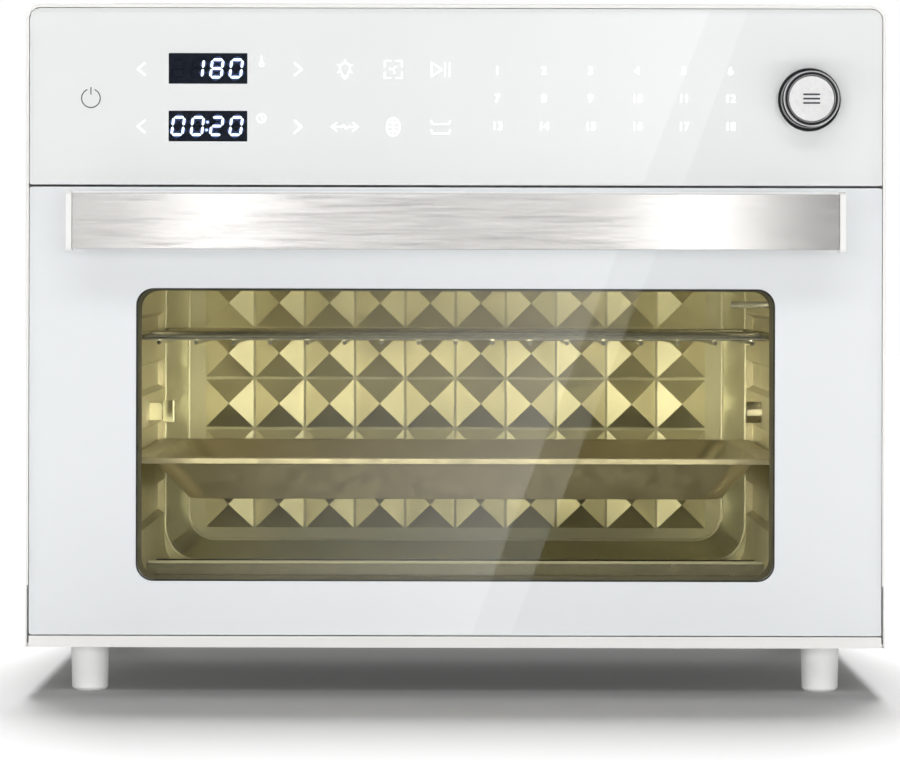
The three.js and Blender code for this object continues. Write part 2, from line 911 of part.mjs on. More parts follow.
// The encoder sits on the board, behind the knob
function rotaryEncoder() {
  const back = surroundFront + boardSetback - clearance;
  const half = encoderWidth / 2;
  const body = block(knobX - half, knobX + half, back - encoderDepth, back, knobZ - half, knobZ + half);
  const bore = rod(
    [knobX, back - encoderDepth - overrun, knobZ],
    [knobX, back - carrierWall, knobZ],
    shaftRadius + clearance,
    medium,
  );
  return cut(body, [bore]);
}

function encoderShaft() {
  const back = surroundFront + boardSetback - carrierWall - clearance * 2;
  const front = -knobBaseThickness - clearance * 2;
  return rod([knobX, front, knobZ], [knobX, back, knobZ], shaftRadius, medium);
}

// Knob: a polished ring that flares into its foot, with a dish for the cap, and a blind bore for the shaft
function knobRing() {
  const foot = clearance;
  const neck = knobReach - knobRoll;
  const floor = knobReach - knobDish;
  const bore = shaftRadius + clearance;
  return turnedForward(
    [
      [bore, foot],
      [knobBaseRadius, foot],
      [knobBaseRadius, knobBaseThickness],
      [knobRingRadius, knobBaseThickness + knobRoll],
      [knobRingRadius, neck],
      [knobRingRadius - knobRoll / 2, knobReach],
      [knobCapRadius + knobRoll / 2, knobReach],
      [knobCapRadius + clearance, neck],
      [knobCapRadius + clearance, floor],
      [0, floor],
      [0, knobBaseThickness + clearance * 3],
      [bore, knobBaseThickness + clearance * 3],
      [bore, foot],
    ],
    fine,
    knobX,
    knobZ,
  );
}

// The cap: a shallow dished button with a rounded edge
function knobCap() {
  const back = knobReach - knobDish + capTravel + clearance;
  const edge = knobReach - knobRoll / 2;
  return turnedForward(
    [
      [0, back],
      [knobCapRadius, back],
      [knobCapRadius, edge - knobRoll / 2],
      [knobCapRadius - knobRoll / 2, edge],
      [knobCapRadius / 2, edge - knobRoll / 4],
      [0, edge - knobRoll / 3],
    ],
    fine,
    knobX,
    knobZ,
  );
}

// Door
function doorOuterGlass() {
  return frontPane(doorBottom, doorTop, glassBevel, glassBevel);
}

function windowShape(margin) {
  const half = windowHalfWidth + margin;
  return rounded(
    -half,
    half,
    windowBottom - margin,
    windowTop + margin,
    windowRadius + Math.max(margin, 0),
  );
}

const hingeNotchInner = doorHalfWidth - hingeArmInset - clearance;
const hingeNotchTop = hingeZ + hingeEyeRadius + hingeArmThickness;

// The white surround: an open-backed moulding with a frame round the window and notches for the hinges
function doorSurround() {
  const half = doorHalfWidth - surroundInset;
  const low = doorBottom + surroundInset / 2;
  const high = doorTop - surroundInset / 2;
  const outer = alongY(rounded(-half, half, low, high, surroundWall), surroundFront, surroundBack);
  const hollow = alongY(
    rounded(
      -half + surroundWall,
      half - surroundWall,
      low + surroundWall,
      high - surroundWall,
      surroundWall,
    ),
    surroundFront + surroundWall,
    surroundBack + overrun,
  );
  const frame = alongY(windowShape(surroundWall), surroundFront, surroundBack);
  const opening = alongY(windowShape(0), surroundFront - overrun, surroundBack + overrun);
  const notchWalls = [-1, 1].map((side) => {
    const xs = [side * (hingeNotchInner - surroundWall), side * half].sort((a, b) => a - b);
    const top = hingeNotchTop + surroundWall;
    return block(xs[0], xs[1], surroundFront, surroundBack, low, top);
  });
  // The hinge arms pass through the tops of the notches
  const armSlots = [-1, 1].map((side) => {
    const reach = hingeNotchInner + hingeArmThickness + clearance * 2;
    const xs = [side * hingeNotchInner, side * reach].sort((a, b) => a - b);
    const top = hingeNotchTop + surroundWall + overrun;
    return block(
      xs[0],
      xs[1],
      surroundFront + surroundWall,
      surroundBack + overrun,
      hingeNotchTop - overrun,
      top,
    );
  });
  const shell = join([cut(outer, [hollow]), frame, ...notchWalls]);
  return cut(shell, [opening, ...hingeNotches(low), ...armSlots]);
}

function hingeNotches(bottom) {
  return [-1, 1].map((side) => {
    const xs = [side * hingeNotchInner, side * (doorHalfWidth + overrun)].sort((a, b) => a - b);
    return block(xs[0], xs[1], 0, frameFront, bottom - overrun, hingeNotchTop);
  });
}

// Inner panel: a steel plate that closes the back of the door, pressed out into a pan round the window
function doorInnerPanel() {
  const plateHalf = doorHalfWidth - surroundInset;
  const plateLow = doorBottom + surroundInset;
  const plate = alongY(
    rounded(-plateHalf, plateHalf, plateLow, doorTop - surroundInset, surroundWall),
    innerPanelFront,
    innerPanelFront + innerPanelWall,
  );
  const half = innerPanelHalfWidth;
  const low = hingeZ + clearance;
  const high = doorTop - innerPanelTopInset;
  const radius = windowRadius;
  const pan = lofted([
    uprightRing(half, low, high, innerPanelFront, radius),
    uprightRing(half - innerPanelWall, low + innerPanelWall, high - innerPanelWall, innerPanelBack, radius),
  ]);
  const inset = innerPanelWall * 2;
  const hollow = alongY(
    rounded(-half + inset, half - inset, low + inset, high - inset, radius),
    innerPanelFront - overrun,
    innerPanelBack - innerPanelWall,
  );
  const opening = alongY(windowShape(-innerWindowInset), innerPanelFront, innerPanelBack + overrun);
  return cut(join([plate, pan]), [hollow, opening, ...hingeNotches(plateLow)]);
}

// The inner glass lies against the pan, round the window
function doorInnerGlass() {
  const back = innerPanelBack - innerPanelWall - clearance;
  return alongY(windowShape(innerGlassLap), back - innerGlassThickness, back);
}

// Handle
const handleZ = doorTop - handleTopDrop - handleCapHeight / 2;

// How far in front of the glass the bar's face lies at a distance from its middle
function barFace(x) {
  const share = x / handleHalfSpan;
  return -handleReach + handleBow * share * share;
}

function handleBar() {
  const half = handleHalfSpan - handleCapWidth - clearance;
  const xs = spread(handleBarSteps, (half * 2) / (handleBarSteps - 1));
  const face = xs.map((x) => [x, barFace(x)]);
  const back = xs.map((x) => [x, barFace(x) + handleBarThickness]).reverse();
  const bottom = handleZ - handleBarHeight / 2;
  return alongZ(outlineOf([...face, ...back]), bottom, bottom + handleBarHeight);
}

function handleEndCap(side) {
  const inner = handleHalfSpan - handleCapWidth;
  const front = barFace(inner);
  const z0 = handleZ - handleCapHeight / 2;
  const cap = alongX(
    rounded(front, front + handleCapDepth, z0, z0 + handleCapHeight, handleCapRadius),
    inner,
    handleHalfSpan,
  );
  return side > 0 ? cap : mirrored(cap);
}

// A post carries the bar in front of the glass, and flares where it meets the bar
function handlePost(side) {
  const x = handleHalfSpan - handlePostInset;
  const back = -clearance;
  const front = barFace(x - handlePostWidth / 2) + handleBarThickness + clearance + handleBow / 4;
  const z0 = handleZ - handlePostHeight / 2;
  const z1 = handleZ + handlePostHeight / 2;
  const half = handlePostWidth / 2;
  const flare = handleCapRadius;
  const ring = (y, grow) => {
    const points = roundedPoints(x - half - grow, x + half + grow, z0 - grow, z1 + grow, handleCapRadius);
    return points.map(([u, v]) => new THREE.Vector3(u, y, v));
  };
  const post = lofted([ring(front, flare), ring(front + flare, 0), ring(back, 0)]);
  return side > 0 ? post : mirrored(post);
}

// Door hinge: a plate on the door's side, a bracket on the front frame, and a pin through both
function hingeArm(side) {
  const x1 = doorHalfWidth - hingeArmInset + hingeArmThickness;
  const x0 = x1 - hingeArmThickness;
  const front = surroundFront + surroundWall + clearance;
  const back = surroundBack;
  const top = hingeZ + hingeArmLength;
  const shape = new THREE.Shape();
  shape.moveTo(hingeY + hingeEyeRadius, hingeZ);
  shape.lineTo(hingeY + hingeEyeRadius, hingeNotchTop);
  shape.lineTo(back, hingeNotchTop + surroundWall * 2);
  shape.lineTo(back, top);
  shape.lineTo(front, top);
  shape.lineTo(front, hingeNotchTop);
  shape.lineTo(hingeY - hingeEyeRadius, hingeZ);
  shape.absarc(hingeY, hingeZ, hingeEyeRadius, Math.PI, Math.PI * 2);
  const plate = alongX(shape, x0, x1, medium);
  const arm = cut(plate, [hingeBore(x0, x1)]);
  return side > 0 ? arm : mirrored(arm);
}

function hingeBore(x0, x1) {
  return rod(
    [x0 - overrun, hingeY, hingeZ],
    [x1 + overrun, hingeY, hingeZ],
    hingePinRadius + clearance,
    medium,
  );
}

const hingeBracketInner = doorHalfWidth - hingeArmInset + hingeArmThickness + clearance;

function hingeBracket(side) {
  const x0 = hingeBracketInner;
  const x1 = x0 + hingeBracketThickness;
  const back = frameFront - clearance;
  const shape = new THREE.Shape();
  shape.moveTo(hingeY, hingeZ - hingeEyeRadius);
  shape.lineTo(back, hingeZ - hingeEyeRadius);
  shape.lineTo(back, hingeZ + hingeEyeRadius);
  shape.lineTo(hingeY, hingeZ + hingeEyeRadius);
  shape.absarc(hingeY, hingeZ, hingeEyeRadius, quarterTurn, Math.PI + quarterTurn);
  const ear = alongX(shape, x0, x1, medium);
  const z0 = hingeZ - hingeEyeRadius;
  const flange = block(
    x0,
    doorHalfWidth - surroundInset,
    back - hingeBracketThickness,
    back,
    z0,
    z0 + hingeBracketFoot,
  );
  const bracket = cut(join([ear, flange]), [hingeBore(x0, x1)]);
  return side > 0 ? bracket : mirrored(bracket);
}

function hingePin(side) {
  const x0 = doorHalfWidth - hingeArmInset - clearance;
  const x1 = hingeBracketInner + hingeBracketThickness + clearance;
  const pin = rod([x0, hingeY, hingeZ], [x1, hingeY, hingeZ], hingePinRadius, medium);
  const head = rod(
    [x1, hingeY, hingeZ],
    [x1 + hingePinRadius, hingeY, hingeZ],
    hingeEyeRadius - clearance,
    medium,
  );
  const whole = join([pin, head]);
  return side > 0 ? whole : mirrored(whole);
}

// Cavity liner
// One side of the liner's cross-section, from the top down: flat wall with grooves pressed outwards
function wallProfile(offset, grooved) {
  const half = cavityHalfWidth + offset;
  const points = [[half, cavityCeiling]];
  if (grooved) {
    grooveTops.forEach((top, k) => {
      const bottom = top - grooveHeights[k];
      const lean = offset * grooveLeanShare;
      points.push([half, top + lean]);
      points.push([half + grooveDepth, top + lean - grooveFall]);
      points.push([half + grooveDepth, bottom - lean + grooveFall]);
      points.push([half, bottom - lean]);
    });
  }
  const bendZ = cavityFloor + cavityBendRadius;
  for (let k = 0; k <= bendSteps; k += 1) {
    const angle = (k / bendSteps) * quarterTurn;
    const reach = cavityBendRadius + offset;
    points.push([
      cavityHalfWidth - cavityBendRadius + Math.cos(angle) * reach,
      bendZ - Math.sin(angle) * reach,
    ]);
  }
  return points;
}

function linerSection(innerOffset, outerOffset, innerGrooved, outerGrooved) {
  const mirrorPoints = (points) => points.map(([x, z]) => [-x, z]).reverse();
  const inner = wallProfile(innerOffset, innerGrooved);
  const outer = wallProfile(outerOffset, outerGrooved);
  return outlineOf([
    ...inner,
    ...mirrorPoints(inner),
    ...mirrorPoints(outer).reverse(),
    ...outer.slice().reverse(),
  ]);
}

function cavityLiner() {
  const grooveEnd = cavityRear - grooveEndInset;
  const body = alongY(linerSection(0, sheetWall, true, true), linerFront, grooveEnd);
  const ends = alongY(
    linerSection(0, sheetWall, false, true),
    grooveEnd - overrun / 2,
    grooveEnd + sheetWall,
  );
  const tail = alongY(linerSection(0, sheetWall, false, false), grooveEnd, cavityRear);
  const reach = cavityHalfWidth + grooveDepth + sheetWall + overrun;
  const innerReach = cavityHalfWidth - cavityBendRadius;
  const through = (y, z, radius, side, sides = medium) => {
    return rod([side * innerReach, y, z], [side * reach, y, z], radius + clearance, sides);
  };
  const heaterZ = cavityFloor + rodHeaterRise;
  const holes = rodHeaterYs.flatMap((y) => [-1, 1].map((side) => through(y, heaterZ, heaterRadius, side)));
  holes.push(through(spitY, spitZ, spitSocketRadius, 1, fine));
  holes.push(through(probeY, probeZ, probeRadius, 1));
  return cut(join([body, ends, tail]), holes);
}

// Rear panel: a deep-drawn dish whose floor is a field of pyramids that point at the viewer
function pyramid(x, z, width, rise, height, back) {
  const corners = [
    [-width / 2, -rise / 2],
    [width / 2, -rise / 2],
    [width / 2, rise / 2],
    [-width / 2, rise / 2],
  ];
  const ring = (y, size) => {
    return corners.map(([u, v]) => new THREE.Vector3(x + u * size, y, z + v * size));
  };
  return lofted([ring(back, 1), ring(back - height, pyramidTipShare)]);
}

function cavityRearPanel() {
  const rimTop = cavityCeiling - dishRimInsetTop;
  const rimLow = cavityFloor + dishRimRise;
  const faceHalf = cavityHalfWidth - dishFaceInsetX;
  const faceTop = rimTop - dishFaceInsetTop;
  const faceLow = rimLow + dishFaceRise;
  const front = cavityRear + clearance;
  const back = front + dishDepth;
  const dish = (grow, y0, y1) => {
    return lofted([
      uprightRing(cavityHalfWidth + grow, rimLow - grow, rimTop + grow, y0, dishRimRadius + grow),
      uprightRing(faceHalf + grow, faceLow - grow, faceTop + grow, y1, dishFaceRadius + grow),
    ]);
  };
  const flangeHalf = cavityHalfWidth + dishFlange;
  const flange = alongY(
    rounded(-flangeHalf, flangeHalf, cavityFloor - sheetWall, cavityCeiling, cavityBendRadius, 0),
    front,
    front + sheetWall,
  );
  const fieldTop = faceTop - pyramidTopMargin;
  const fieldLow = faceLow + pyramidLowMargin;
  const pitchX = ((faceHalf - pyramidSideMargin) * 2) / pyramidColumns;
  const pitchZ = (fieldTop - fieldLow) / pyramidRows;
  const places = spread(pyramidColumns, pitchX).flatMap((x) => {
    return spread(pyramidRows, pitchZ).map((dz) => [x, (fieldTop + fieldLow) / 2 + dz]);
  });
  const seat = back + sheetWall / 2;
  const peaks = places.map(([x, z]) => pyramid(x, z, pitchX, pitchZ, pyramidHeight + sheetWall / 2, seat));
  const pits = places.map(([x, z]) => {
    const height = pyramidHeight - sheetWall * pyramidPitShare;
    const [width, rise] = [pitchX - sheetWall * 2, pitchZ - sheetWall * 2];
    return pyramid(x, z, width, rise, height, back + sheetWall + overrun / 2);
  });
  const shell = cut(
    join([flange, dish(sheetWall, front, back + sheetWall)]),
    [dish(0, front - overrun / 2, back)],
  );
  return cut(join([shell, ...peaks]), pits);
}

// Racks and trays
function grooveFloor(k) {
  return grooveTops[k] - grooveHeights[k];
}

// The floor of a groove slopes up outwards
function grooveFloorAt(k, x) {
  return grooveFloor(k) + ((x - cavityHalfWidth) * grooveFall) / grooveDepth;
}

const runnerHalfWidth = cavityHalfWidth + grooveDepth - runnerClearance;

// The wire rack: a frame of bar stock with rods under its cross bars
function wireRack() {
  const half = runnerHalfWidth - rackBarRadius;
  const lean = Math.hypot(1, grooveFall / grooveDepth);
  const z = grooveFloorAt(rackGrooveIndex, half) + (rackBarRadius + clearance) * lean;
  const bend = rackBarRadius * 3;
  const [front, rear] = [rackFront + rackBarRadius, rackRear - rackBarRadius];
  const frame = wireLoop(flatRing(half, front, rear, bend, z), rackBarRadius, coarse);
  const rodZ = z - rackBarRadius - rackRodRadius + overrun / 4;
  const rodPitch = ((runnerHalfWidth - rackRodMargin) * 2) / (rackRodCount - 1);
  const rods = spread(rackRodCount, rodPitch).map((x) => {
    return rod([x, front - rackBarRadius, rodZ], [x, rear + rackBarRadius, rodZ], rackRodRadius, rodSides);
  });
  const middle = (front + rear) / 2;
  const brace = rod([-half, middle, z], [half, middle, z], rackBarRadius, coarse);
  return join([frame, brace, ...rods]);
}

// The baking tray: four sloping walls, a wide rim that runs in the grooves, and a turned-down edge
function bakingTray() {
  const rimZ = grooveFloorAt(trayGrooveIndex, runnerHalfWidth) + clearance + trayEdgeDrop + trayWall;
  const topHalf = runnerHalfWidth - trayFlange;
  const y0 = rackFront + trayRimFront;
  const y1 = rackRear - trayRimFront;
  const pan = (grow, drop, lid) => {
    return lofted([
      flatRing(
        topHalf - traySideSlope + grow,
        y0 + trayEndSlope - grow,
        y1 - trayEndSlope + grow,
        trayRadius,
        rimZ - trayDepth + drop,
      ),
      flatRing(topHalf + grow, y0 - grow, y1 + grow, trayRadius + grow, rimZ + lid),
    ]);
  };
  const rim = (inset, low, high) => {
    return alongZ(
      rounded(
        -runnerHalfWidth + inset,
        runnerHalfWidth - inset,
        rackFront + inset,
        rackRear - inset,
        trayRadius / 2,
      ),
      low,
      high,
    );
  };
  const edge = cut(rim(0, rimZ - trayEdgeDrop - trayWall, rimZ), [
    rim(trayWall, rimZ - trayEdgeDrop - trayWall * 2, rimZ - trayWall),
  ]);
  return cut(join([pan(trayWall, -trayWall, 0), edge]), [pan(0, 0, overrun)]);
}

// The crumb tray lies on the cavity floor, with a tall front lip to hold it by
function crumbTray() {
  const low = cavityFloor + clearance;
  const half = crumbTrayHalfWidth;
  const floorHalf = cavityHalfWidth - cavityBendRadius;
  const wall = crumbTrayWall;
  const floor = block(-floorHalf, floorHalf, crumbTrayFront, crumbTrayRear, low, low + wall);
  const lip = alongY(
    outlineOf([
      [-floorHalf, low],
      [floorHalf, low],
      [half, low + cavityBendRadius / 2],
      [half, low + crumbTrayLip],
      [-half, low + crumbTrayLip],
      [-half, low + cavityBendRadius / 2],
    ]),
    crumbTrayFront,
    crumbTrayFront + wall,
  );
  const roll = block(
    -half,
    half,
    crumbTrayFront,
    crumbTrayFront + wall * 4,
    low + crumbTrayLip - wall,
    low + crumbTrayLip,
  );
  const sides = [-1, 1].map((side) => {
    const xs = [side * floorHalf, side * (floorHalf - wall)].sort((a, b) => a - b);
    return block(xs[0], xs[1], crumbTrayFront, crumbTrayRear, low, low + crumbTraySide);
  });
  const rear = block(-floorHalf, floorHalf, crumbTrayRear - wall, crumbTrayRear, low, low + crumbTraySide);
  return join([floor, lip, roll, rear, ...sides]);
}

// Ceiling, fan chamber, heaters and fan
function radialSlots(z0, z1) {
  return guardRingRadii.flatMap((radius, ring) => {
    return Array.from({ length: guardSlotCount }, (_, k) => {
      const angle = ((k + ring / 2) / guardSlotCount) * 2 * Math.PI;
      const width = guardSlotWidth * (ring + 1) * guardSlotShare;
      const slot = rounded(
        radius - guardSlotLength / 2,
        radius + guardSlotLength / 2,
        -width / 2,
        width / 2,
        0,
      );
      const geometry = extruded(slot, z1 - z0, slotSteps).rotateZ(angle);
      return solid(geometry.translate(0, fanY, z0));
    });
  });
}

function cavityCeilingPanel() {
  const half = cavityHalfWidth + grooveDepth + sheetWall;
  const plate = block(-half, half, linerFront, cavityRear, ceilingBottom, ceilingTop);
  const lampHole = rod(
    [lampX, lampY, ceilingBottom - overrun],
    [lampX, lampY, ceilingTop + overrun],
    lampRadius,
    medium,
  );
  return cut(plate, [lampHole, ...radialSlots(ceilingBottom - overrun, ceilingTop + overrun)]);
}

const chamberBottom = ceilingTop + clearance;
const chamberTop = chamberBottom + chamberHeight;

function heaterLeadPlaces() {
  return [-1, 1].map((side) => [side * ringHeaterLeadSpread, fanY + ringHeaterRadius]);
}

function fanChamber() {
  const plan = (inset) => {
    const half = chamberHalfWidth - inset;
    return rounded(-half, half, chamberFront + inset, chamberRear - inset, cavityBendRadius);
  };
  const box = alongZ(plan(0), chamberBottom, chamberTop);
  const flange = alongZ(plan(-chamberFlange), chamberBottom, chamberBottom + sheetWall);
  const hollow = alongZ(plan(sheetWall), chamberBottom - overrun, chamberTop - sheetWall);
  const shaftHole = rod(
    [0, fanY, chamberTop - sheetWall * 2],
    [0, fanY, chamberTop + overrun],
    motorShaftRadius + clearance * 2,
    medium,
  );
  const leadHoles = heaterLeadPlaces().map(([x, y]) => {
    return rod(
      [x, y, chamberTop - sheetWall * 2],
      [x, y, chamberTop + overrun],
      heaterRadius + clearance,
      medium,
    );
  });
  return cut(join([box, flange]), [hollow, shaftHole, ...leadHoles]);
}

// The ring heater lies round the fan, and its two leads come up through the chamber's top
function upperHeater() {
  const z = ceilingTop + ringHeaterRise;
  const steps = fine / 2;
  const leadAngle = Math.atan2(1, ringHeaterLeadSpread / ringHeaterRadius);
  const places = Array.from({ length: steps }, (_, k) => {
    const angle = leadAngle + (k / steps) * 2 * Math.PI;
    const x = Math.cos(angle) * ringHeaterRadius;
    return new THREE.Vector3(x, fanY + Math.sin(angle) * ringHeaterRadius, z);
  });
  const ring = wireLoop(places, heaterRadius, coarse);
  const leads = heaterLeadPlaces().flatMap(([x, y]) => {
    const onRing = Math.sqrt(ringHeaterRadius ** 2 - x ** 2) + fanY;
    const reach = rod([x, onRing, z], [x, y, z], heaterRadius, coarse);
    const rise = rod(
      [x, y, z - heaterRadius],
      [x, y, chamberTop + rodHeaterTail / 2],
      heaterRadius,
      coarse,
    );
    return [reach, rise];
  });
  return join([ring, ...leads]);
}

function lowerHeater(y) {
  const z = cavityFloor + rodHeaterRise;
  const reach = cavityHalfWidth + sheetWall + rodHeaterTail;
  const element = rod([-reach, y, z], [reach, y, z], heaterRadius, medium);
  const collars = [-1, 1].map((side) => {
    const start = side * (cavityHalfWidth + sheetWall + clearance);
    return rod([start, y, z], [side * reach * heaterCollarShare, y, z], heaterRadius * 2, medium);
  });
  return join([element, ...collars]);
}

const fanTop = ceilingTop + fanRise + fanBladeHeight;

function hotAirFan() {
  const low = ceilingTop + fanRise;
  const disc = rod([0, fanY, fanTop], [0, fanY, fanTop + fanDiscWall], fanRadius, fine / 2);
  const hub = rod([0, fanY, low], [0, fanY, fanTop], fanHubRadius, medium);
  const blades = Array.from({ length: fanBladeCount }, (_, k) => {
    const inner = fanHubRadius - fanBladeWall;
    const blade = new THREE.BoxGeometry(fanRadius - inner, fanBladeWall, fanBladeHeight + fanDiscWall / 2);
    blade.translate((fanRadius - fanBladeWall + inner) / 2, 0, (low + fanTop + fanDiscWall / 2) / 2);
    blade.rotateZ((k / fanBladeCount) * 2 * Math.PI);
    return solid(blade.translate(0, fanY, 0));
  });
  const bore = rod(
    [0, fanY, low - overrun],
    [0, fanY, fanTop + fanDiscWall + overrun],
    motorShaftRadius + clearance,
    medium,
  );
  return cut(join([disc, hub, ...blades]), [bore]);
}

const motorBottom = chamberTop + motorRise;

function motorShaft() {
  const low = ceilingTop + fanRise - motorShaftRadius;
  return rod([0, fanY, low], [0, fanY, motorBottom + motorHeight / 2], motorShaftRadius, medium);
}

function fanMotor() {
  const stack = block(
    -motorWidth / 2,
    motorWidth / 2,
    fanY - motorDepth / 2,
    fanY + motorDepth / 2,
    motorBottom,
    motorBottom + motorHeight,
  );
  const bell = rod(
    [0, fanY, motorBottom + motorHeight / 2],
    [0, fanY, motorBottom + motorHeight + motorHeight / 4],
    motorDepth / 3,
    medium,
  );
  const bore = rod(
    [0, fanY, motorBottom - overrun],
    [0, fanY, motorBottom + motorHeight / 2 + clearance],
    motorShaftRadius + clearance,
    medium,
  );
  const legX = motorWidth / 2 - motorLegRadius;
  const legY = motorDepth / 2 - motorLegRadius;
  const legs = [-legX, legX].flatMap((x) => [-legY, legY].map((dy) => {
    const y = fanY + dy;
    return rod([x, y, chamberTop + clearance], [x, y, motorBottom + overrun], motorLegRadius, coarse);
  }));
  return cut(join([stack, bell, ...legs]), [bore]);
}

function coolingFan() {
  const low = chamberTop + (motorRise - coolingFanHeight) / 2;
  const high = low + coolingFanHeight;
  const hub = rod([0, fanY, low], [0, fanY, high], fanHubRadius, medium);
  const blades = Array.from({ length: fanBladeCount }, (_, k) => {
    const inner = fanHubRadius - fanBladeWall;
    const blade = new THREE.BoxGeometry(coolingFanRadius - inner, fanBladeWall, coolingFanHeight / 2);
    blade.rotateX(Math.PI / 5);
    blade.translate((coolingFanRadius + inner) / 2, 0, (low + high) / 2);
    blade.rotateZ((k / fanBladeCount) * 2 * Math.PI);
    return solid(blade.translate(0, fanY, 0));
  });
  const bore = rod(
    [0, fanY, low - overrun],
    [0, fanY, high + overrun],
    motorShaftRadius + clearance,
    medium,
  );
  return cut(join([hub, ...blades]), [bore]);
}

// Lamp: a holder over a hole in the ceiling, a bulb, and a glass cover that hangs through the hole
function lampHolder() {
  const flangeTop = chamberBottom + sheetWall;
  const outer = lampRadius + lampFlange * 2;
  const inner = lampRadius + lampFlange + clearance;
  const top = chamberBottom + lampHolderHeight;
  const cup = turned(
    [
      [inner, chamberBottom],
      [outer, chamberBottom],
      [outer, flangeTop],
      [inner + sheetWall, flangeTop],
      [inner + sheetWall, top],
      [0, top],
      [0, top - sheetWall],
      [inner, top - sheetWall],
      [inner, chamberBottom],
    ],
    medium,
  );
  return shifted(cup, lampX, lampY, 0);
}

function lampCover() {
  const low = ceilingBottom - lampCoverDrop;
  const neck = lampRadius - clearance;
  const wall = sheetWall * 2;
  const cover = turned(
    [
      [0, low],
      [neck - wall, low],
      [neck, low + wall],
      [neck, chamberBottom],
      [lampRadius + lampFlange, chamberBottom],
      [lampRadius + lampFlange, chamberBottom + wall],
      [neck - wall, chamberBottom + wall],
      [neck - wall, low + wall],
      [0, low + wall],
      [0, low],
    ],
    medium,
  );
  return shifted(cover, lampX, lampY, 0);
}

function lampBulb() {
  const top = chamberBottom + lampHolderHeight - sheetWall - clearance;
  const neck = lampBulbRadius / 2;
  const middle = chamberBottom + lampBulbRadius + sheetWall * 3;
  const profile = [[0, middle - lampBulbRadius]];
  for (let k = 1; k <= bendSteps; k += 1) {
    const angle = (k / bendSteps) * quarterTurn * bulbArcShare;
    profile.push([Math.sin(angle) * lampBulbRadius, middle - Math.cos(angle) * lampBulbRadius]);
  }
  profile.push([neck, middle + lampBulbRadius]);
  profile.push([neck, top]);
  profile.push([0, top]);
  return shifted(turned(profile, medium), lampX, lampY, 0);
}

// Rotisserie drive and bearing bracket
const outerGrooveX = cavityHalfWidth + grooveDepth + sheetWall;

function spitDriveSocket() {
  const inner = cavityHalfWidth - spitSocketReach;
  const outer = outerGrooveX - clearance;
  const body = rod([inner, spitY, spitZ], [outer, spitY, spitZ], spitSocketRadius, medium);
  const mouth = spitSocketReach * 2 / 3;
  const square = spitRodRadius / Math.SQRT2 + clearance;
  const socket = block(
    inner - overrun,
    inner + mouth,
    spitY - square,
    spitY + square,
    spitZ - square,
    spitZ + square,
  );
  const spigot = rod(
    [outer - spitSocketReach / 2, spitY, spitZ],
    [outer + overrun, spitY, spitZ],
    shaftRadius + clearance,
    medium,
  );
  return cut(body, [socket, spigot]);
}

function spitMotor() {
  const x0 = outerGrooveX + clearance;
  const half = spitMotorWidth / 2;
  const housing = block(
    x0,
    x0 + spitMotorThickness,
    spitY - half,
    spitY + half,
    spitZ - half,
    spitZ + half,
  );
  const tip = outerGrooveX - clearance * 2 - spitSocketReach / 2;
  const spigot = rod(
    [tip + clearance * 2, spitY, spitZ],
    [x0 + overrun, spitY, spitZ],
    shaftRadius,
    medium,
  );
  return join([housing, spigot]);
}

// A folded hook on the left wall, open to the front and the top
function spitBracket() {
  const x0 = -cavityHalfWidth + clearance;
  const x1 = x0 + spitBracketReach;
  const wall = sheetWall * 2;
  const half = spitBracketWidth / 2;
  const low = spitZ - spitBracketHeight / 2;
  const high = low + spitBracketHeight;
  const plate = block(x0, x0 + wall, spitY - half, spitY + half, low, high);
  const hook = alongX(rounded(spitY - half, spitY + half, low, high, wall), x1 - wall, x1);
  const floor = block(x0, x1, spitY - half, spitY + half, low, low + wall);
  const back = block(x0, x1, spitY + half - wall, spitY + half, low, high);
  const slotFloor = spitZ - spitRodRadius;
  const slot = block(
    x1 - wall * 2,
    x1 + overrun,
    spitY - spitRodRadius,
    spitY + spitRodRadius,
    slotFloor,
    high + overrun,
  );
  return cut(join([plate, hook, floor, back]), [slot]);
}

function temperatureProbe() {
  const z = probeZ;
  const tip = cavityHalfWidth - probeReach;
  const outside = cavityHalfWidth + sheetWall + clearance;
  const stem = rod([tip, probeY, z], [outside + probeRadius * 4, probeY, z], probeRadius, medium);
  const nut = rod([outside, probeY, z], [outside + probeRadius * 2, probeY, z], probeRadius * 2, rodSides);
  return join([stem, nut]);
}

// Door switch
function doorSwitch() {
  const y0 = frameBack + clearance;
  const body = block(
    switchX - switchWidth / 2,
    switchX + switchWidth / 2,
    y0,
    y0 + switchDepth,
    switchZ - switchHeight / 2,
    switchZ + switchHeight / 2,
  );
  const bore = rod(
    [switchX, y0 - overrun, switchZ],
    [switchX, y0 + switchDepth * 2 / 3, switchZ],
    plungerRadius + clearance,
    medium,
  );
  return cut(body, [bore]);
}

function switchPlunger() {
  const front = innerPanelFront + innerPanelWall + clearance;
  const back = frameBack + switchDepth * 2 / 3;
  return rod([switchX, front, switchZ], [switchX, back, switchZ], plungerRadius, medium);
}

// The cabinet and what stands still in it
add("outer_housing", outerHousing(), whiteSteel());
add("base_plate", basePlate(), whiteSteel());
add("rear_cover", rearCover(), whiteSteel());
add("front_frame", frontFrame(), zincSteel());
add("cord_gland", cordGland(), blackPlastic());
[-1, 1].forEach((side, k) => {
  const x = (side * cabinetWidth) / 4;
  add(["rear_spacer_left", "rear_spacer_right"][k], rearSpacer(x), whitePlastic());
});
const footNames = ["foot_front_left", "foot_rear_left", "foot_front_right", "foot_rear_right"];
footPlaces().forEach(([x, y], k) => add(footNames[k], shifted(foot(), x, y, 0), whitePlastic()));
add("cavity_liner", cavityLiner(), cavitySteel());
add("cavity_rear_panel", cavityRearPanel(), cavitySteel());
add("cavity_ceiling", cavityCeilingPanel(), cavitySteel());
add("fan_chamber", fanChamber(), zincSteel());
add("upper_heater", upperHeater(), darkSteel());
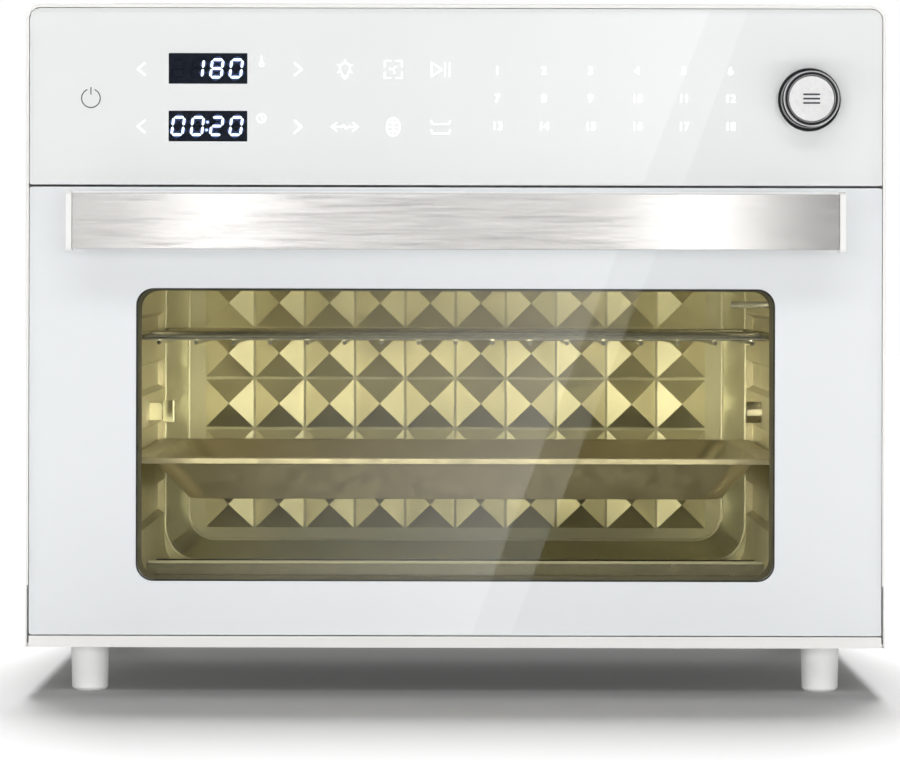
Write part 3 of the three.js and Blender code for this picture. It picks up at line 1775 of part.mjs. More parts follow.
add("lower_heater_front", lowerHeater(rodHeaterYs[0]), darkSteel());
add("lower_heater_rear", lowerHeater(rodHeaterYs[1]), darkSteel());
add("fan_motor", fanMotor(), zincSteel());
add("lamp_holder", lampHolder(), zincSteel());
add("lamp_cover", lampCover(), clearGlass());
add("lamp_bulb", lampBulb(), clearGlass());
add("spit_motor", spitMotor(), zincSteel());
add("spit_bracket", spitBracket(), zincSteel());
add("temperature_probe", temperatureProbe(), zincSteel());
add("door_switch", doorSwitch(), blackPlastic());

// The control panel
add("control_glass", controlGlass(), clearGlass());
add("panel_carrier", panelCarrier(), whitePlastic());
add("control_board", controlBoard(), finish("#2f6b45", 0.6, 0));
add("temperature_display", displayModule(0), blackPlastic());
add("timer_display", displayModule(1), blackPlastic());
add("rotary_encoder", rotaryEncoder(), zincSteel());

// What turns, presses or slides in the cabinet
add("encoder_shaft", encoderShaft(), zincSteel());
add("knob_ring", knobRing(), chromePlate());
add("knob_cap", knobCap(), brushedSteel());
add("motor_shaft", motorShaft(), zincSteel());
add("hot_air_fan", hotAirFan(), zincSteel());
add("cooling_fan", coolingFan(), zincSteel());
add("spit_drive_socket", spitDriveSocket(), zincSteel());
add("switch_plunger", switchPlunger(), blackPlastic());
add("wire_rack", wireRack(), brushedSteel());
add("baking_tray", bakingTray(), darkSteel());
add("crumb_tray", crumbTray(), cavitySteel());

// The door
add("door_outer_glass", doorOuterGlass(), clearGlass(), door);
add("door_surround", doorSurround(), whitePlastic(), door);
add("door_inner_panel", doorInnerPanel(), cavitySteel(), door);
add("door_inner_glass", doorInnerGlass(), clearGlass(), door);
add("handle_bar", handleBar(), brushedSteel(), door);
[-1, 1].forEach((side, k) => {
  const hand = ["left", "right"][k];
  add("handle_cap_" + hand, handleEndCap(side), whitePlastic(), door);
  add("handle_post_" + hand, handlePost(side), brushedSteel(), door);
  add("hinge_arm_" + hand, hingeArm(side), zincSteel(), door);
  add("hinge_pin_" + hand, hingePin(side), zincSteel(), door);
  add("hinge_bracket_" + hand, hingeBracket(side), zincSteel());
});

export default oven;
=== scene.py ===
import math

import bmesh
import bpy
from mathutils import Matrix, Vector


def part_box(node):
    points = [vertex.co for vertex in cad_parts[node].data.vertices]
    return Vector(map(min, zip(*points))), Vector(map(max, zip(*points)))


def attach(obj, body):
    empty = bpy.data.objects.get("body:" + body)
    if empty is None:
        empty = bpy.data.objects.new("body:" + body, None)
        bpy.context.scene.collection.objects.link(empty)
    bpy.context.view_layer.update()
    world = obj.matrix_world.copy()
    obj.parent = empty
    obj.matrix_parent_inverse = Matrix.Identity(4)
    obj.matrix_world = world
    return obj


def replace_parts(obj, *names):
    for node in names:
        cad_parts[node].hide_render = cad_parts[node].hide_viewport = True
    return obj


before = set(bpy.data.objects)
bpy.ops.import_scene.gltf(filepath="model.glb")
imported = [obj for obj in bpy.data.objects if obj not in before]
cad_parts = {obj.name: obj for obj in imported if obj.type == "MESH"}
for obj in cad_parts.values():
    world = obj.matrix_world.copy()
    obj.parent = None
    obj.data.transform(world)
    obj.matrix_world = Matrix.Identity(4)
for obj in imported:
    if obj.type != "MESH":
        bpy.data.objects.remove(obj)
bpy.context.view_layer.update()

# Lengths below are in millimetres in the frame of the model, and become metres where a mesh is made
MM = 0.001
QUARTER = math.pi / 2


def box(node):
    """Lowest and highest corner of a solid, in millimetres."""
    low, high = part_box(node)
    return low / MM, high / MM


def put_in_scene(name, data):
    """A new object with that mesh, curve, lamp or camera."""
    made = bpy.data.objects.new(name, data)
    bpy.context.scene.collection.objects.link(made)
    return made


def rectangle(u0, u1, v0, v1):
    return [(u0, v0), (u1, v0), (u1, v1), (u0, v1)]


glass_low, glass_high = box("door_outer_glass")
panel_low, panel_high = box("control_glass")
front = glass_low.y
glass_back = glass_high.y


# Camera, as the photograph was taken
eye_distance = 2300
eye_height = 237.3
pixel_size = 0.558
image_width = 900
image_height = 768
principal_x = 455.7
principal_y = 271
roll_slope = 0.0021
sensor_width = 36
nearest_seen = 0.05
farthest_seen = 40


def make_camera():
    data = bpy.data.cameras.new("camera")
    data.sensor_width = sensor_width
    data.lens = sensor_width * eye_distance / (pixel_size * image_width)
    data.shift_x = (image_width / 2 - principal_x) / image_width
    data.shift_y = (principal_y - image_height / 2) / image_width
    data.clip_start = nearest_seen
    data.clip_end = farthest_seen
    camera = put_in_scene("camera", data)
    camera.location = Vector((0, front - eye_distance, eye_height)) * MM
    camera.rotation_euler = (QUARTER, -roll_slope, 0)
    bpy.context.scene.camera = camera


make_camera()


# Materials: each is a Principled shader whose colour, roughness and bump come from procedural nodes
pattern_low = 0.3
pattern_high = 0.7


def add_node(tree, kind, **values):
    """A new node. Names with a capital are inputs, the others settings."""
    made = tree.nodes.new(kind)
    for key, value in values.items():
        if key[0].isupper():
            made.inputs[key.replace("_", " ")].default_value = value
        else:
            setattr(made, key, value)
    return made


def light_path_mix(tree, output, first, second):
    """First shader for rays named by the light path's output, else the second."""
    path = add_node(tree, "ShaderNodeLightPath")
    mix = add_node(tree, "ShaderNodeMixShader")
    tree.links.new(path.outputs[output], mix.inputs["Fac"])
    tree.links.new(second, mix.inputs[1])
    tree.links.new(first, mix.inputs[2])
    return mix.outputs["Shader"]


class Finish:
    """A material whose nodes are added one at a time."""

    def __init__(self, name, colour, roughness, metallic=0.0, **sockets):
        self.material = bpy.data.materials.new(name)
        self.material.use_nodes = True
        self.tree = self.material.node_tree
        self.shader = self.tree.nodes["Principled BSDF"]
        self.colour = colour
        self.normal = None
        values = {"Base_Color": (*colour, 1), "Roughness": roughness, "Metallic": metallic, **sockets}
        for socket, value in values.items():
            self.shader.inputs[socket.replace("_", " ")].default_value = value

    def node(self, kind, **values):
        return add_node(self.tree, kind, **values)

    def link(self, source, target):
        self.tree.links.new(source, target)

    def places(self, stretch=(1, 1, 1)):
        """Object coordinates, stretched so that a pattern runs along one direction."""
        mapping = self.node("ShaderNodeMapping", Scale=stretch)
        self.link(self.node("ShaderNodeTexCoord").outputs["Object"], mapping.inputs["Vector"])
        return mapping.outputs["Vector"]

    def noise(self, scale, detail, stretch=(1, 1, 1), rough=0.55):
        made = self.node("ShaderNodeTexNoise", Scale=scale, Detail=detail, Roughness=rough)
        self.link(self.places(stretch), made.inputs["Vector"])
        return made.outputs["Fac"]

    def ranged(self, source, low, high):
        """The middle of a pattern's range, spread between two values."""
        spread = {"From_Min": pattern_low, "From_Max": pattern_high, "To_Min": low, "To_Max": high}
        made = self.node("ShaderNodeMapRange", **spread)
        self.link(source, made.inputs["Value"])
        return made.outputs["Result"]

    def mottle(self, source, dark, light):
        """Base colour between a darker and a lighter tone of the finish."""
        tones = [(*[min(c * tone, 1) for c in self.colour], 1) for tone in (dark, light)]
        mix = self.node("ShaderNodeMix", data_type="RGBA", A=tones[0], B=tones[1])
        self.link(self.ranged(source, 0, 1), mix.inputs["Factor"])
        self.link(mix.outputs["Result"], self.shader.inputs["Base Color"])

    def uneven(self, source, low, high):
        self.link(self.ranged(source, low, high), self.shader.inputs["Roughness"])

    def bump(self, source, depth):
        """Raises the surface by up to depth millimetres."""
        made = self.node("ShaderNodeBump", Strength=1, Distance=depth * MM)
        self.link(source, made.inputs["Height"])
        if self.normal is not None:
            self.link(self.normal, made.inputs["Normal"])
        self.normal = made.outputs["Normal"]
        self.link(self.normal, self.shader.inputs["Normal"])

    def open_to_light(self, colour):
        """The camera meets glass. Light that falls on what is behind it passes straight through, tinted."""
        clear = self.node("ShaderNodeBsdfTransparent", Color=(*colour, 1)).outputs["BSDF"]
        glass = surface = self.shader.outputs["BSDF"]
        for ray, other in (("Glossy", clear), ("Transmission", glass), ("Diffuse", clear), ("Shadow", clear)):
            surface = light_path_mix(self.tree, f"Is {ray} Ray", other, surface)
        self.link(surface, self.tree.nodes["Material Output"].inputs["Surface"])


def finish(name, colour, roughness, metallic=0.0, tone=None, gloss=None, relief=(), **sockets):
    """Tone, roughness and height follow noise, each given by scale and detail, and by its range or depth."""
    made = Finish(name, colour, roughness, metallic, **sockets)
    if tone:
        scale, detail, dark, light = tone
        made.mottle(made.noise(scale, detail), dark, light)
    if gloss:
        scale, detail, low, high = gloss
        made.uneven(made.noise(scale, detail), low, high)
    for scale, detail, depth in relief:
        made.bump(made.noise(scale, detail), depth)
    return made


def white_plastic(name, colour):
    made = finish(name, colour, 0.42, 0, (30, 3, 0.98, 1.01), (120, 3, 0.38, 0.48), [(1600, 2, 0.018)])
    return made.material


def lacquer(name, colour):
    """White print on the back of the glass."""
    relief = [(1200, 2, 0.006)]
    return finish(name, colour, 0.6, 0, (6, 3, 0.985, 1.01), None, relief, Specular_IOR_Level=0.3).material


def ink(name, colour, shine=0.5):
    relief = [(1500, 2, 0.004)]
    return finish(name, colour, 0.5, 0, (300, 3, 0.9, 1.1), None, relief, Specular_IOR_Level=shine).material


def glow(name, colour, strength):
    """A lit mark: its colour shines, with grain as of a printed diffuser."""
    shine = {"Emission_Color": (*colour, 1), "Emission_Strength": strength}
    return finish(name, colour, 0.5, 0, (700, 2, 0.96, 1.02), **shine).material


def glass(name, tint, passed, roughness=0.0, relief=(9, 2, 0.0016)):
    """Passed is the tint of light on its way to what is behind the glass."""
    made = finish(name, tint, roughness, relief=[relief], Transmission_Weight=1.0, IOR=1.45)
    made.open_to_light(passed)
    return made.material


def pane(name, tint):
    return glass(name, tint, [math.sqrt(c) for c in tint])


def coated_steel(name, colour, roughness):
    """Satin steel of the cavity under a thin baked film: fine grain and faint clouds."""
    gloss = (70, 4, roughness * 0.88, roughness * 1.15)
    relief = [(1500, 3, 0.006), (22, 2, 0.12)]
    return finish(name, colour, roughness, 0.8, (26, 5, 0.93, 1.04), gloss, relief).material


def brushed_steel(name, colour, roughness, stretch, grain, anisotropy=0.0, metallic=1.0):
    """Steel brushed along the stretch. With anisotropy its shine spreads upright, across the brush lines."""
    made = Finish(name, colour, roughness, metallic, Anisotropic=anisotropy)
    if anisotropy:
        spaces = {"convert_from": "OBJECT", "convert_to": "WORLD"}
        upright = made.node("ShaderNodeVectorTransform", Vector=(0, 0, 1), **spaces)
        made.link(upright.outputs["Vector"], made.shader.inputs["Tangent"])
    streaks = made.noise(grain, 5, stretch, rough=0.7)
    made.mottle(streaks, 0.93, 1.04)
    made.uneven(made.noise(grain / 3, 4, stretch), roughness * 0.85, roughness * 1.2)
    made.bump(streaks, 0.0015)
    made.bump(made.noise(18, 2, stretch), 0.002)
    return made.material


def celled(made, feature, output, scale, stretch, dark, light):
    """Tones that follow a pattern of cells."""
    cells = made.node("ShaderNodeTexVoronoi", feature=feature, Scale=scale)
    made.link(made.places(stretch), cells.inputs["Vector"])
    made.mottle(cells.outputs[output], dark, light)
    return made.material


# Forms of the pieces that the model doesn't have, or has in plainer form
weld_distance = 0.001
curve_weld_distance = 0.0001
miter_limit = 0.3


def spokes(across, other, sides):
    """Directions all round, from across towards other."""
    turns = [math.tau * k / sides for k in range(sides)]
    return [across * math.cos(turn) + other * math.sin(turn) for turn in turns]


def weld(mesh, distance, turn_outwards=False):
    work = bmesh.new()
    work.from_mesh(mesh)
    bmesh.ops.remove_doubles(work, verts=work.verts, dist=distance * MM)
    if turn_outwards:
        bmesh.ops.recalc_face_normals(work, faces=work.faces)
    work.to_mesh(mesh)
    work.free()


class Form:
    """Points in millimetres and faces, gathered for one piece."""

    def __init__(self):
        self.points = []
        self.faces = []

    def add(self, points, faces):
        base = len(self.points)
        self.points += [Vector(p) for p in points]
        self.faces += [[base + k for k in face] for face in faces]
        return self

    def skin(self, rings, closed=False):
        """Faces between rings of as many points each, with the first and last ring filled."""
        count = len(rings[0])
        faces = []
        spans = len(rings) if closed else len(rings) - 1
        for level in range(spans):
            low, high = level * count, (level + 1) % len(rings) * count
            for k in range(count):
                after = (k + 1) % count
                faces.append([low + k, low + after, high + after, high + k])
        if not closed:
            faces.append(list(range(count))[::-1])
            faces.append([(len(rings) - 1) * count + k for k in range(count)])
        return self.add([p for ring in rings for p in ring], faces)

    def turned(self, profile, centre, axis, sides):
        """A profile of (radius, distance along the axis) turned about an axis through centre."""
        along = Vector(axis)
        across = along.orthogonal().normalized()
        outs = spokes(across, along.cross(across), sides)
        return self.skin([
            [Vector(centre) + along * distance + out * max(radius, weld_distance) for out in outs]
            for radius, distance in profile
        ])

    def tube(self, path, radius, sides, closed=False):
        """A round bar along a path."""
        path = [Vector(p) for p in path]
        count = len(path)
        rings = []
        across = None
        for k in range(count):
            before = path[(k - 1) % count] if closed or k > 0 else path[k]
            after = path[(k + 1) % count] if closed or k < count - 1 else path[k]
            along = (after - before).normalized()
            if across is None:
                across = along.orthogonal().normalized()
            across = (across - along * across.dot(along)).normalized()
            rings.append([path[k] + out * radius for out in spokes(across, along.cross(across), sides)])
        return self.skin(rings, closed=closed)

    def plate(self, outline, y0, y1):
        """A plate with that outline in x and z, between two depths."""
        return self.skin([[(x, y, z) for x, z in outline] for y in (y0, y1)])

    def box(self, low, high):
        (x0, y0, z0), (x1, y1, z1) = low, high
        return self.plate(rectangle(x0, x1, z0, z1), y0, y1)

    def make(self, name, material, body, slot, smooth=35, bevel=0.0):
        mesh = bpy.data.meshes.new(name)
        mesh.from_pydata([p * MM for p in self.points], [], self.faces)
        weld(mesh, weld_distance, turn_outwards=True)
        return dress_piece(put_in_scene(name, mesh), material, body, smooth, bevel)


def dress_piece(piece, material, body, smooth=35, bevel=0.0):
    mesh = piece.data
    mesh.materials.clear()
    mesh.materials.append(material)
    mesh.polygons.foreach_set("use_smooth", [True] * len(mesh.polygons))
    if bevel:
        add_bevel(piece, bevel)
    add_smoothing(piece, smooth)
    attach(piece, body)
    return piece


def arc(u, v, radius, start, end, steps):
    """Points on an arc, angles in quarter turns."""
    angles = [(start + (end - start) * k / steps) * QUARTER for k in range(steps + 1)]
    return [(u + radius * math.cos(a), v + radius * math.sin(a)) for a in angles]


def rounded_outline(u0, u1, v0, v1, radius, steps=10):
    """A rectangle with round corners, from its lower right corner round."""
    return (
        arc(u1 - radius, v0 + radius, radius, -1, 0, steps)
        + arc(u1 - radius, v1 - radius, radius, 0, 1, steps)
        + arc(u0 + radius, v1 - radius, radius, 1, 2, steps)
        + arc(u0 + radius, v0 + radius, radius, 2, 3, steps)
    )


def circle_outline(u, v, radius, steps=48):
    return arc(u, v, radius, 0, 4, steps)[:-1]


def stroke_outline(points, width):
    """The outline of a line drawn with a pen of that width, with square ends."""
    path = [Vector(p) for p in points]
    left, right = [], []
    for k, place in enumerate(path):
        sides = []
        if k > 0:
            sides.append((place - path[k - 1]).normalized())
        if k < len(path) - 1:
            sides.append((path[k + 1] - place).normalized())
        along = sum(sides, Vector((0, 0))).normalized()
        normal = Vector((-along.y, along.x))
        reach = width / 2 / max(normal.dot(Vector((-sides[0].y, sides[0].x))), miter_limit)
        left.append(place + normal * reach)
        right.append(place - normal * reach)
    return [tuple(p) for p in left + right[::-1]]


def piece_of_curve(name, curve, place, material, body):
    """A flat curve or text made solid, and stood upright at a place."""
    holder = put_in_scene(name, curve)
    graph = bpy.context.evaluated_depsgraph_get()
    mesh = bpy.data.meshes.new_from_object(holder.evaluated_get(graph))
    bpy.data.objects.remove(holder)
    mesh.transform(Matrix.Translation(Vector(place) * MM) @ Matrix.Rotation(QUARTER, 4, "X"))
    weld(mesh, curve_weld_distance)
    return dress_piece(put_in_scene(name, mesh), material, body)


def flat_piece(name, loops, y0, y1, material, body):
    """A thin plate in x and z between two depths. A loop inside another is a hole."""
    curve = bpy.data.curves.new(name, "CURVE")
    curve.dimensions = "2D"
    curve.fill_mode = "BOTH"
    curve.extrude = abs(y1 - y0) / 2 * MM
    for loop in loops:
        spline = curve.splines.new("POLY")
        spline.points.add(len(loop) - 1)
        for point, (u, v) in zip(spline.points, loop):
            point.co = (u * MM, v * MM, 0, 1)
        spline.use_cyclic_u = True
    return piece_of_curve(name, curve, (0, (y0 + y1) / 2, 0), material, body)


# Modifiers that dress a mesh without changing it
def geometry_group(name):
    group = bpy.data.node_groups.new(name, "GeometryNodeTree")
    group.interface.new_socket("Geometry", in_out="INPUT", socket_type="NodeSocketGeometry")
    group.interface.new_socket("Geometry", in_out="OUTPUT", socket_type="NodeSocketGeometry")
    start = group.nodes.new("NodeGroupInput").outputs["Geometry"]
    end = group.nodes.new("NodeGroupOutput").inputs["Geometry"]
    return group, start, end


def join_corners_group():
    """Joins the corners that lie on each other and drops the flat shading."""
    group, start, end = geometry_group("join_corners")
    drop = add_node(group, "GeometryNodeRemoveAttribute", Name="custom_normal")
    merge = add_node(group, "GeometryNodeMergeByDistance", Distance=weld_distance * MM)
    group.links.new(start, drop.inputs["Geometry"])
    group.links.new(drop.outputs["Geometry"], merge.inputs["Geometry"])
    group.links.new(merge.outputs["Geometry"], end)
    return group


def smoothing_group(degrees):
    """Shades a mesh smooth, apart from edges sharper than an angle."""
    group, start, end = geometry_group(f"smooth_to_{degrees}")
    faces = add_node(group, "GeometryNodeSetShadeSmooth", domain="FACE", Shade_Smooth=True)
    edges = add_node(group, "GeometryNodeSetShadeSmooth", domain="EDGE")
    angle = add_node(group, "GeometryNodeInputMeshEdgeAngle")
    limit = math.radians(degrees)
    below = add_node(group, "FunctionNodeCompare", data_type="FLOAT", operation="LESS_THAN", B=limit)
    group.links.new(start, faces.inputs["Geometry"])
    group.links.new(faces.outputs["Geometry"], edges.inputs["Geometry"])
    group.links.new(angle.outputs["Unsigned Angle"], below.inputs["A"])
    group.links.new(below.outputs["Result"], edges.inputs["Shade Smooth"])
    group.links.new(edges.outputs["Geometry"], end)
    return group


joining = join_corners_group()
smoothings = {}


def add_modifier(piece, name, kind, **values):
    modifier = piece.modifiers.new(name, kind)
    for key, value in values.items():
        setattr(modifier, key, value)


def add_smoothing(piece, degrees):
    """Smooth shading that leaves the broad faces flat."""
    if degrees not in smoothings:
        smoothings[degrees] = smoothing_group(degrees)
    add_modifier(piece, "smooth", "NODES", node_group=smoothings[degrees])
    add_modifier(piece, "broad_faces", "WEIGHTED_NORMAL", mode="FACE_AREA", keep_sharp=True)


bevel_steps = 2
bevel_limit = math.radians(28)


def add_bevel(piece, width):
    add_modifier(
        piece, "bevel", "BEVEL", width=width * MM, segments=bevel_steps, limit_method="ANGLE",
        angle_limit=bevel_limit, miter_outer="MITER_ARC",
    )


flat_limit = math.radians(0.3)
# Faces of these are full of holes or peaks, which merged faces would cover
pierced_nodes = (
    "outer_housing", "base_plate", "rear_cover", "panel_carrier", "cavity_ceiling", "cavity_rear_panel",
)


def dress(node, material, bevel, smooth):
    """A solid of the model keeps its mesh, and gets its finish and soft edges."""
    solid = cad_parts[node]
    solid.data.materials.clear()
    solid.data.materials.append(material)
    add_modifier(solid, "join", "NODES", node_group=joining)
    if bevel and node not in pierced_nodes:
        add_modifier(solid, "flat", "DECIMATE", decimate_type="DISSOLVE", angle_limit=flat_limit)
    if bevel:
        add_bevel(solid, bevel)
    add_smoothing(solid, smooth)


# Finishes
enamel = finish(
    "white_enamel", (0.83, 0.822, 0.8), 0.38, 0, (14, 4, 0.975, 1.01), (90, 4, 0.33, 0.43),
    [(650, 2, 0.035), (60, 2, 0.05)], Coat_Weight=0.12, Coat_Roughness=0.12,
).material
plastic = white_plastic("white_plastic", (0.8, 0.8, 0.79))
# A lighter copy of the white plastic for the feet: painted light that makes up for the shade under the body
lightened_foot_plastic = white_plastic("lightened_foot_plastic", (0.93, 0.93, 0.92))
pane_glass = pane("pane_glass", (0.985, 0.992, 0.99))
tinted_glass = pane("tinted_glass", (0.93, 0.905, 0.77))
bulb_glass = glass("lamp_glass", (0.95, 0.94, 0.9), (0.95, 0.94, 0.9), 0.12, (240, 2, 0.03))
panel_lacquer = lacquer("panel_lacquer", (0.83, 0.83, 0.832))
door_lacquer = lacquer("door_lacquer", (0.825, 0.835, 0.85))
border_ink = ink("border_ink", (0.03, 0.03, 0.028))
mark_ink = ink("mark_ink", (0.05, 0.055, 0.06))
# Black of the thin rings on the chrome knob ring: painted dark reflection
dark_reflection_black = ink("dark_reflection_black", (0.012, 0.012, 0.014), 0.3)
digit_dark = ink("digit_dark", (0.009, 0.012, 0.021), 0.05)
digit_glow = glow("digit_glow", (0.82, 0.91, 1.0), 1.35)
digit_halo = glow("digit_halo", (0.12, 0.18, 0.4), 1.0)
digit_wide_halo = glow("digit_wide_halo", (0.014, 0.024, 0.062), 1.0)
mark_glow = glow("mark_glow", (0.97, 0.985, 1.0), 1.0)
screen = Finish("screen", (0.008, 0.011, 0.02), 0.25)
handle_steel = brushed_steel("handle_steel", (0.76, 0.745, 0.725), 0.22, (0.04, 1, 1), 1500, 0.93)
cap_steel = brushed_steel("cap_steel", (0.86, 0.85, 0.85), 0.36, (1, 1, 1), 500, metallic=0.25)
# A lighter copy of the cavity steel for the bends and the rolled lip: painted highlight
edge_highlight_steel = brushed_steel("edge_highlight_steel", (0.8, 0.78, 0.66), 0.4, (1, 1, 1), 600, metallic=0.7)
wire_steel = brushed_steel("wire_steel", (0.56, 0.55, 0.5), 0.2, (1, 1, 1), 600)
liner_steel = coated_steel("liner_steel", (0.86, 0.81, 0.65), 0.42)
# Half the tone of the liner steel: painted shade on the front lip of the crumb tray
painted_shade_crumb_steel = coated_steel("painted_shade_crumb_steel", (0.43, 0.41, 0.32), 0.24)
dull_steel = coated_steel("dull_steel", (0.4, 0.38, 0.3), 0.5)
panel_steel = coated_steel("panel_steel", (0.7, 0.69, 0.55), 0.36)
polished = finish(
    "chrome", (0.86, 0.86, 0.87), 0.05, 1, None, (160, 4, 0.03, 0.08), [(260, 2, 0.0015)]
).material
tray_finish = finish(
    "tray_enamel", (0.52, 0.475, 0.36), 0.4, 0.85,
    (40, 4, 0.92, 1.05), (120, 4, 0.34, 0.46), [(900, 3, 0.012)],
).material
heater = finish(
    "heater_steel", (0.1, 0.095, 0.09), 0.55, 0.7,
    (90, 5, 0.7, 1.5), (200, 4, 0.42, 0.68), [(1800, 4, 0.03)],
).material
black = finish(
    "black_plastic", (0.025, 0.025, 0.028), 0.45, 0,
    (60, 3, 0.8, 1.3), (300, 3, 0.38, 0.55), [(1700, 2, 0.02)],
).material
zinc = celled(
    finish("zinc_steel", (0.56, 0.57, 0.58), 0.4, 1.0, None, (80, 3, 0.32, 0.5), [(800, 3, 0.01)]),
    "F1", "Color", 160, (1, 1, 1), 0.88, 1.1,
)
board = celled(
    finish("circuit_board", (0.05, 0.2, 0.1), 0.35, relief=[(500, 3, 0.03)], Specular_IOR_Level=0.6),
    "DISTANCE_TO_EDGE", "Distance", 240, (1, 1, 2), 0.55, 1.5,
)


# Printed layers behind the glass
print_gap = 0.2
print_thickness = 0.06
print_inset = 0.25
mark_thickness = 0.03
glass_corner = 6
square_corner = 0.5
window_half_width = 178.5
window_low = 63.8
window_high = 227.4
window_radius = 9.8
border_width = 0.9
display_radius = 0.4
knob_bore = 5

print_y = glass_back + print_gap
mark_y = glass_back + print_gap / 2


def front_outline(low, high, round_low, round_high):
    """The outline of a front glass, a little inside its edge."""
    x, z0, z1 = high.x - print_inset, low.z + print_inset, high.z - print_inset
    corners = arc(x - round_low, z0 + round_low, round_low, -1, 0, 8)
    corners += arc(x - round_high, z1 - round_high, round_high, 0, 1, 8)
    return corners + [(-u, v) for u, v in corners[::-1]]


def display_outline(node, inset=0):
    low, high = box(node)
    return rounded_outline(low.x + inset, high.x - inset, low.z + inset, high.z - inset, display_radius, 3)


def make_prints():
    low, high = box("knob_ring")
    loops = [
        front_outline(panel_low, panel_high, square_corner, glass_corner),
        display_outline("temperature_display"),
        display_outline("timer_display"),
        circle_outline((low.x + high.x) / 2, (low.z + high.z) / 2, knob_bore),
    ]
    back = print_y + print_thickness
    flat_piece("panel_print", loops, print_y, back, panel_lacquer, "cabinet")
    window, inner_edge = [
        rounded_outline(
            inset - window_half_width, window_half_width - inset,
            window_low + inset, window_high - inset, window_radius - inset,
        )
        for inset in (0, border_width)
    ]
    loops = [front_outline(glass_low, glass_high, square_corner, square_corner), window]
    flat_piece("door_print", loops, print_y, back, door_lacquer, "door")
    back = mark_y + mark_thickness
    flat_piece("window_border", [window, inner_edge], mark_y, back, border_ink, "door")


make_prints()


# Displays: a dark filter with slanted seven-segment digits behind it
screen_inset = 0.1
digit_pitch = 10.8
digit_right = -122.9
digit_width = 7.3
digit_height = 11.0
digit_pen = 1.25
digit_slant = 0.12
digit_gap = 0.28
glow_reach = 0.7
wide_glow_reach = 2.6
dot_radius = 0.42
dot_glow_radius = 0.85
segment_ends = {
    "a": ((0, 1), (1, 1)), "b": ((1, 1), (1, 0.5)), "c": ((1, 0.5), (1, 0)), "d": ((0, 0), (1, 0)),
    "e": ((0, 0.5), (0, 0)), "f": ((0, 1), (0, 0.5)), "g": ((0, 0.5), (1, 0.5)),
}
lit_segments = {" ": "", "0": "abcdef", "1": "bc", "2": "abged", "8": "abcdefg"}


def segment_outline(name, x, z, pen):
    """A pointed bar of one segment of the digit whose middle is at (x, z)."""
    half_x, half_z = (digit_width - digit_pen) / 2, (digit_height - digit_pen) / 2
    start, end = [Vector(((u * 2 - 1) * half_x, (v * 2 - 1) * half_z)) for u, v in segment_ends[name]]
    along = (end - start).normalized()
    side = Vector((-along.y, along.x)) * pen / 2
    tip, nib = along * digit_gap, along * (digit_gap + pen / 2)
    corners = [start + tip, start + nib + side, end - nib + side]
    corners += [end - tip, end - nib - side, start + nib - side]
    return [(x + p.x + p.y * digit_slant, z + p.y) for p in corners]


def make_digits(prefix, text, z, y, colon):
    """Digits read from the right; a space leaves its place dark."""
    lit, halo, wide, dark = [], [], [], []
    for place, character in enumerate(text[::-1]):
        x = digit_right - place * digit_pitch
        for name in segment_ends:
            if name in lit_segments[character]:
                lit.append(segment_outline(name, x, z, digit_pen))
                halo.append(segment_outline(name, x, z, digit_pen + glow_reach))
                wide.append(segment_outline(name, x, z, digit_pen + wide_glow_reach))
            else:
                dark.append(segment_outline(name, x, z, digit_pen))
    if colon:
        x = digit_right - 1.5 * digit_pitch
        for rise in (-1, 1):
            spot = (x + rise * digit_slant * digit_height / 5, z + rise * digit_height / 5)
            lit.append(circle_outline(*spot, digit_pen * dot_radius, 12))
            halo.append(circle_outline(*spot, digit_pen * dot_glow_radius, 12))
    for level, (kind, loops, material) in enumerate((
        ("dark", dark, digit_dark),
        ("wide_halo", wide, digit_wide_halo),
        ("halo", halo, digit_halo),
        ("lit", lit, digit_glow),
    )):
        form = Form()
        depth = y - (level + 1) * mark_thickness
        for loop in loops:
            form.plate(loop, depth, depth + mark_thickness / 2)
        form.make(f"{prefix}_{kind}", material, "cabinet", "black_plastic")


def make_displays():
    for node, prefix, text, colon in (
        ("temperature_display", "temperature", " 180", False),
        ("timer_display", "timer", "0020", True),
    ):
        low, high = box(node)
        face_y = mark_y + print_gap
        form = Form().plate(display_outline(node, screen_inset), face_y, high.y)
        glass = form.make(f"{prefix}_screen", screen.material, "cabinet", "black_plastic", smooth=1)
        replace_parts(glass, node)
        make_digits(prefix, text, (low.z + high.z) / 2, face_y, colon)


make_displays()


# Marks printed on the control panel, lit from behind, each drawn with a pen round its middle
pen = 0.52
thin_pen = 0.38
power_pen = 0.62
grid_left = 23.0
grid_pitch_x = 26.06
grid_top = 349.1
grid_pitch_z = 15.5
grid_columns = 6
grid_rows = 3
number_height = 6.3
upper_row = 349.8
lower_row = 317.7
power_place = (-204.0, 333.4)
power_radius = 5.2
left_arrow_x = -175.8
right_arrow_x = -88.3
arrow_width = 4.0
arrow_height = 7.0
bulb_x = -62.1
frame_x = -35.1
play_x = -8.6
unit_x = -108.7
unit_upper = 354.0
unit_lower = 322.4
# Quarter turns of a ring: it stays open a little, because a closed stroke would be filled
nearly_closed = 3.96


def strokes(x, z, *paths, width=pen):
    return [stroke_outline([(x + u, z + v) for u, v in path], width) for path in paths]


def open_ring(x, z, radius, width, start=0.0, end=nearly_closed, steps=40):
    return [stroke_outline(arc(x, z, radius, start, end, steps), width)]


def direction(turn):
    return Vector((math.cos(turn * QUARTER), math.sin(turn * QUARTER)))


def arrow(x, z, side):
    reach, half = arrow_width / 2 * side, arrow_height / 2
    return strokes(x, z, [(-reach, half), (reach, 0), (-reach, -half)], width=pen * 1.2)


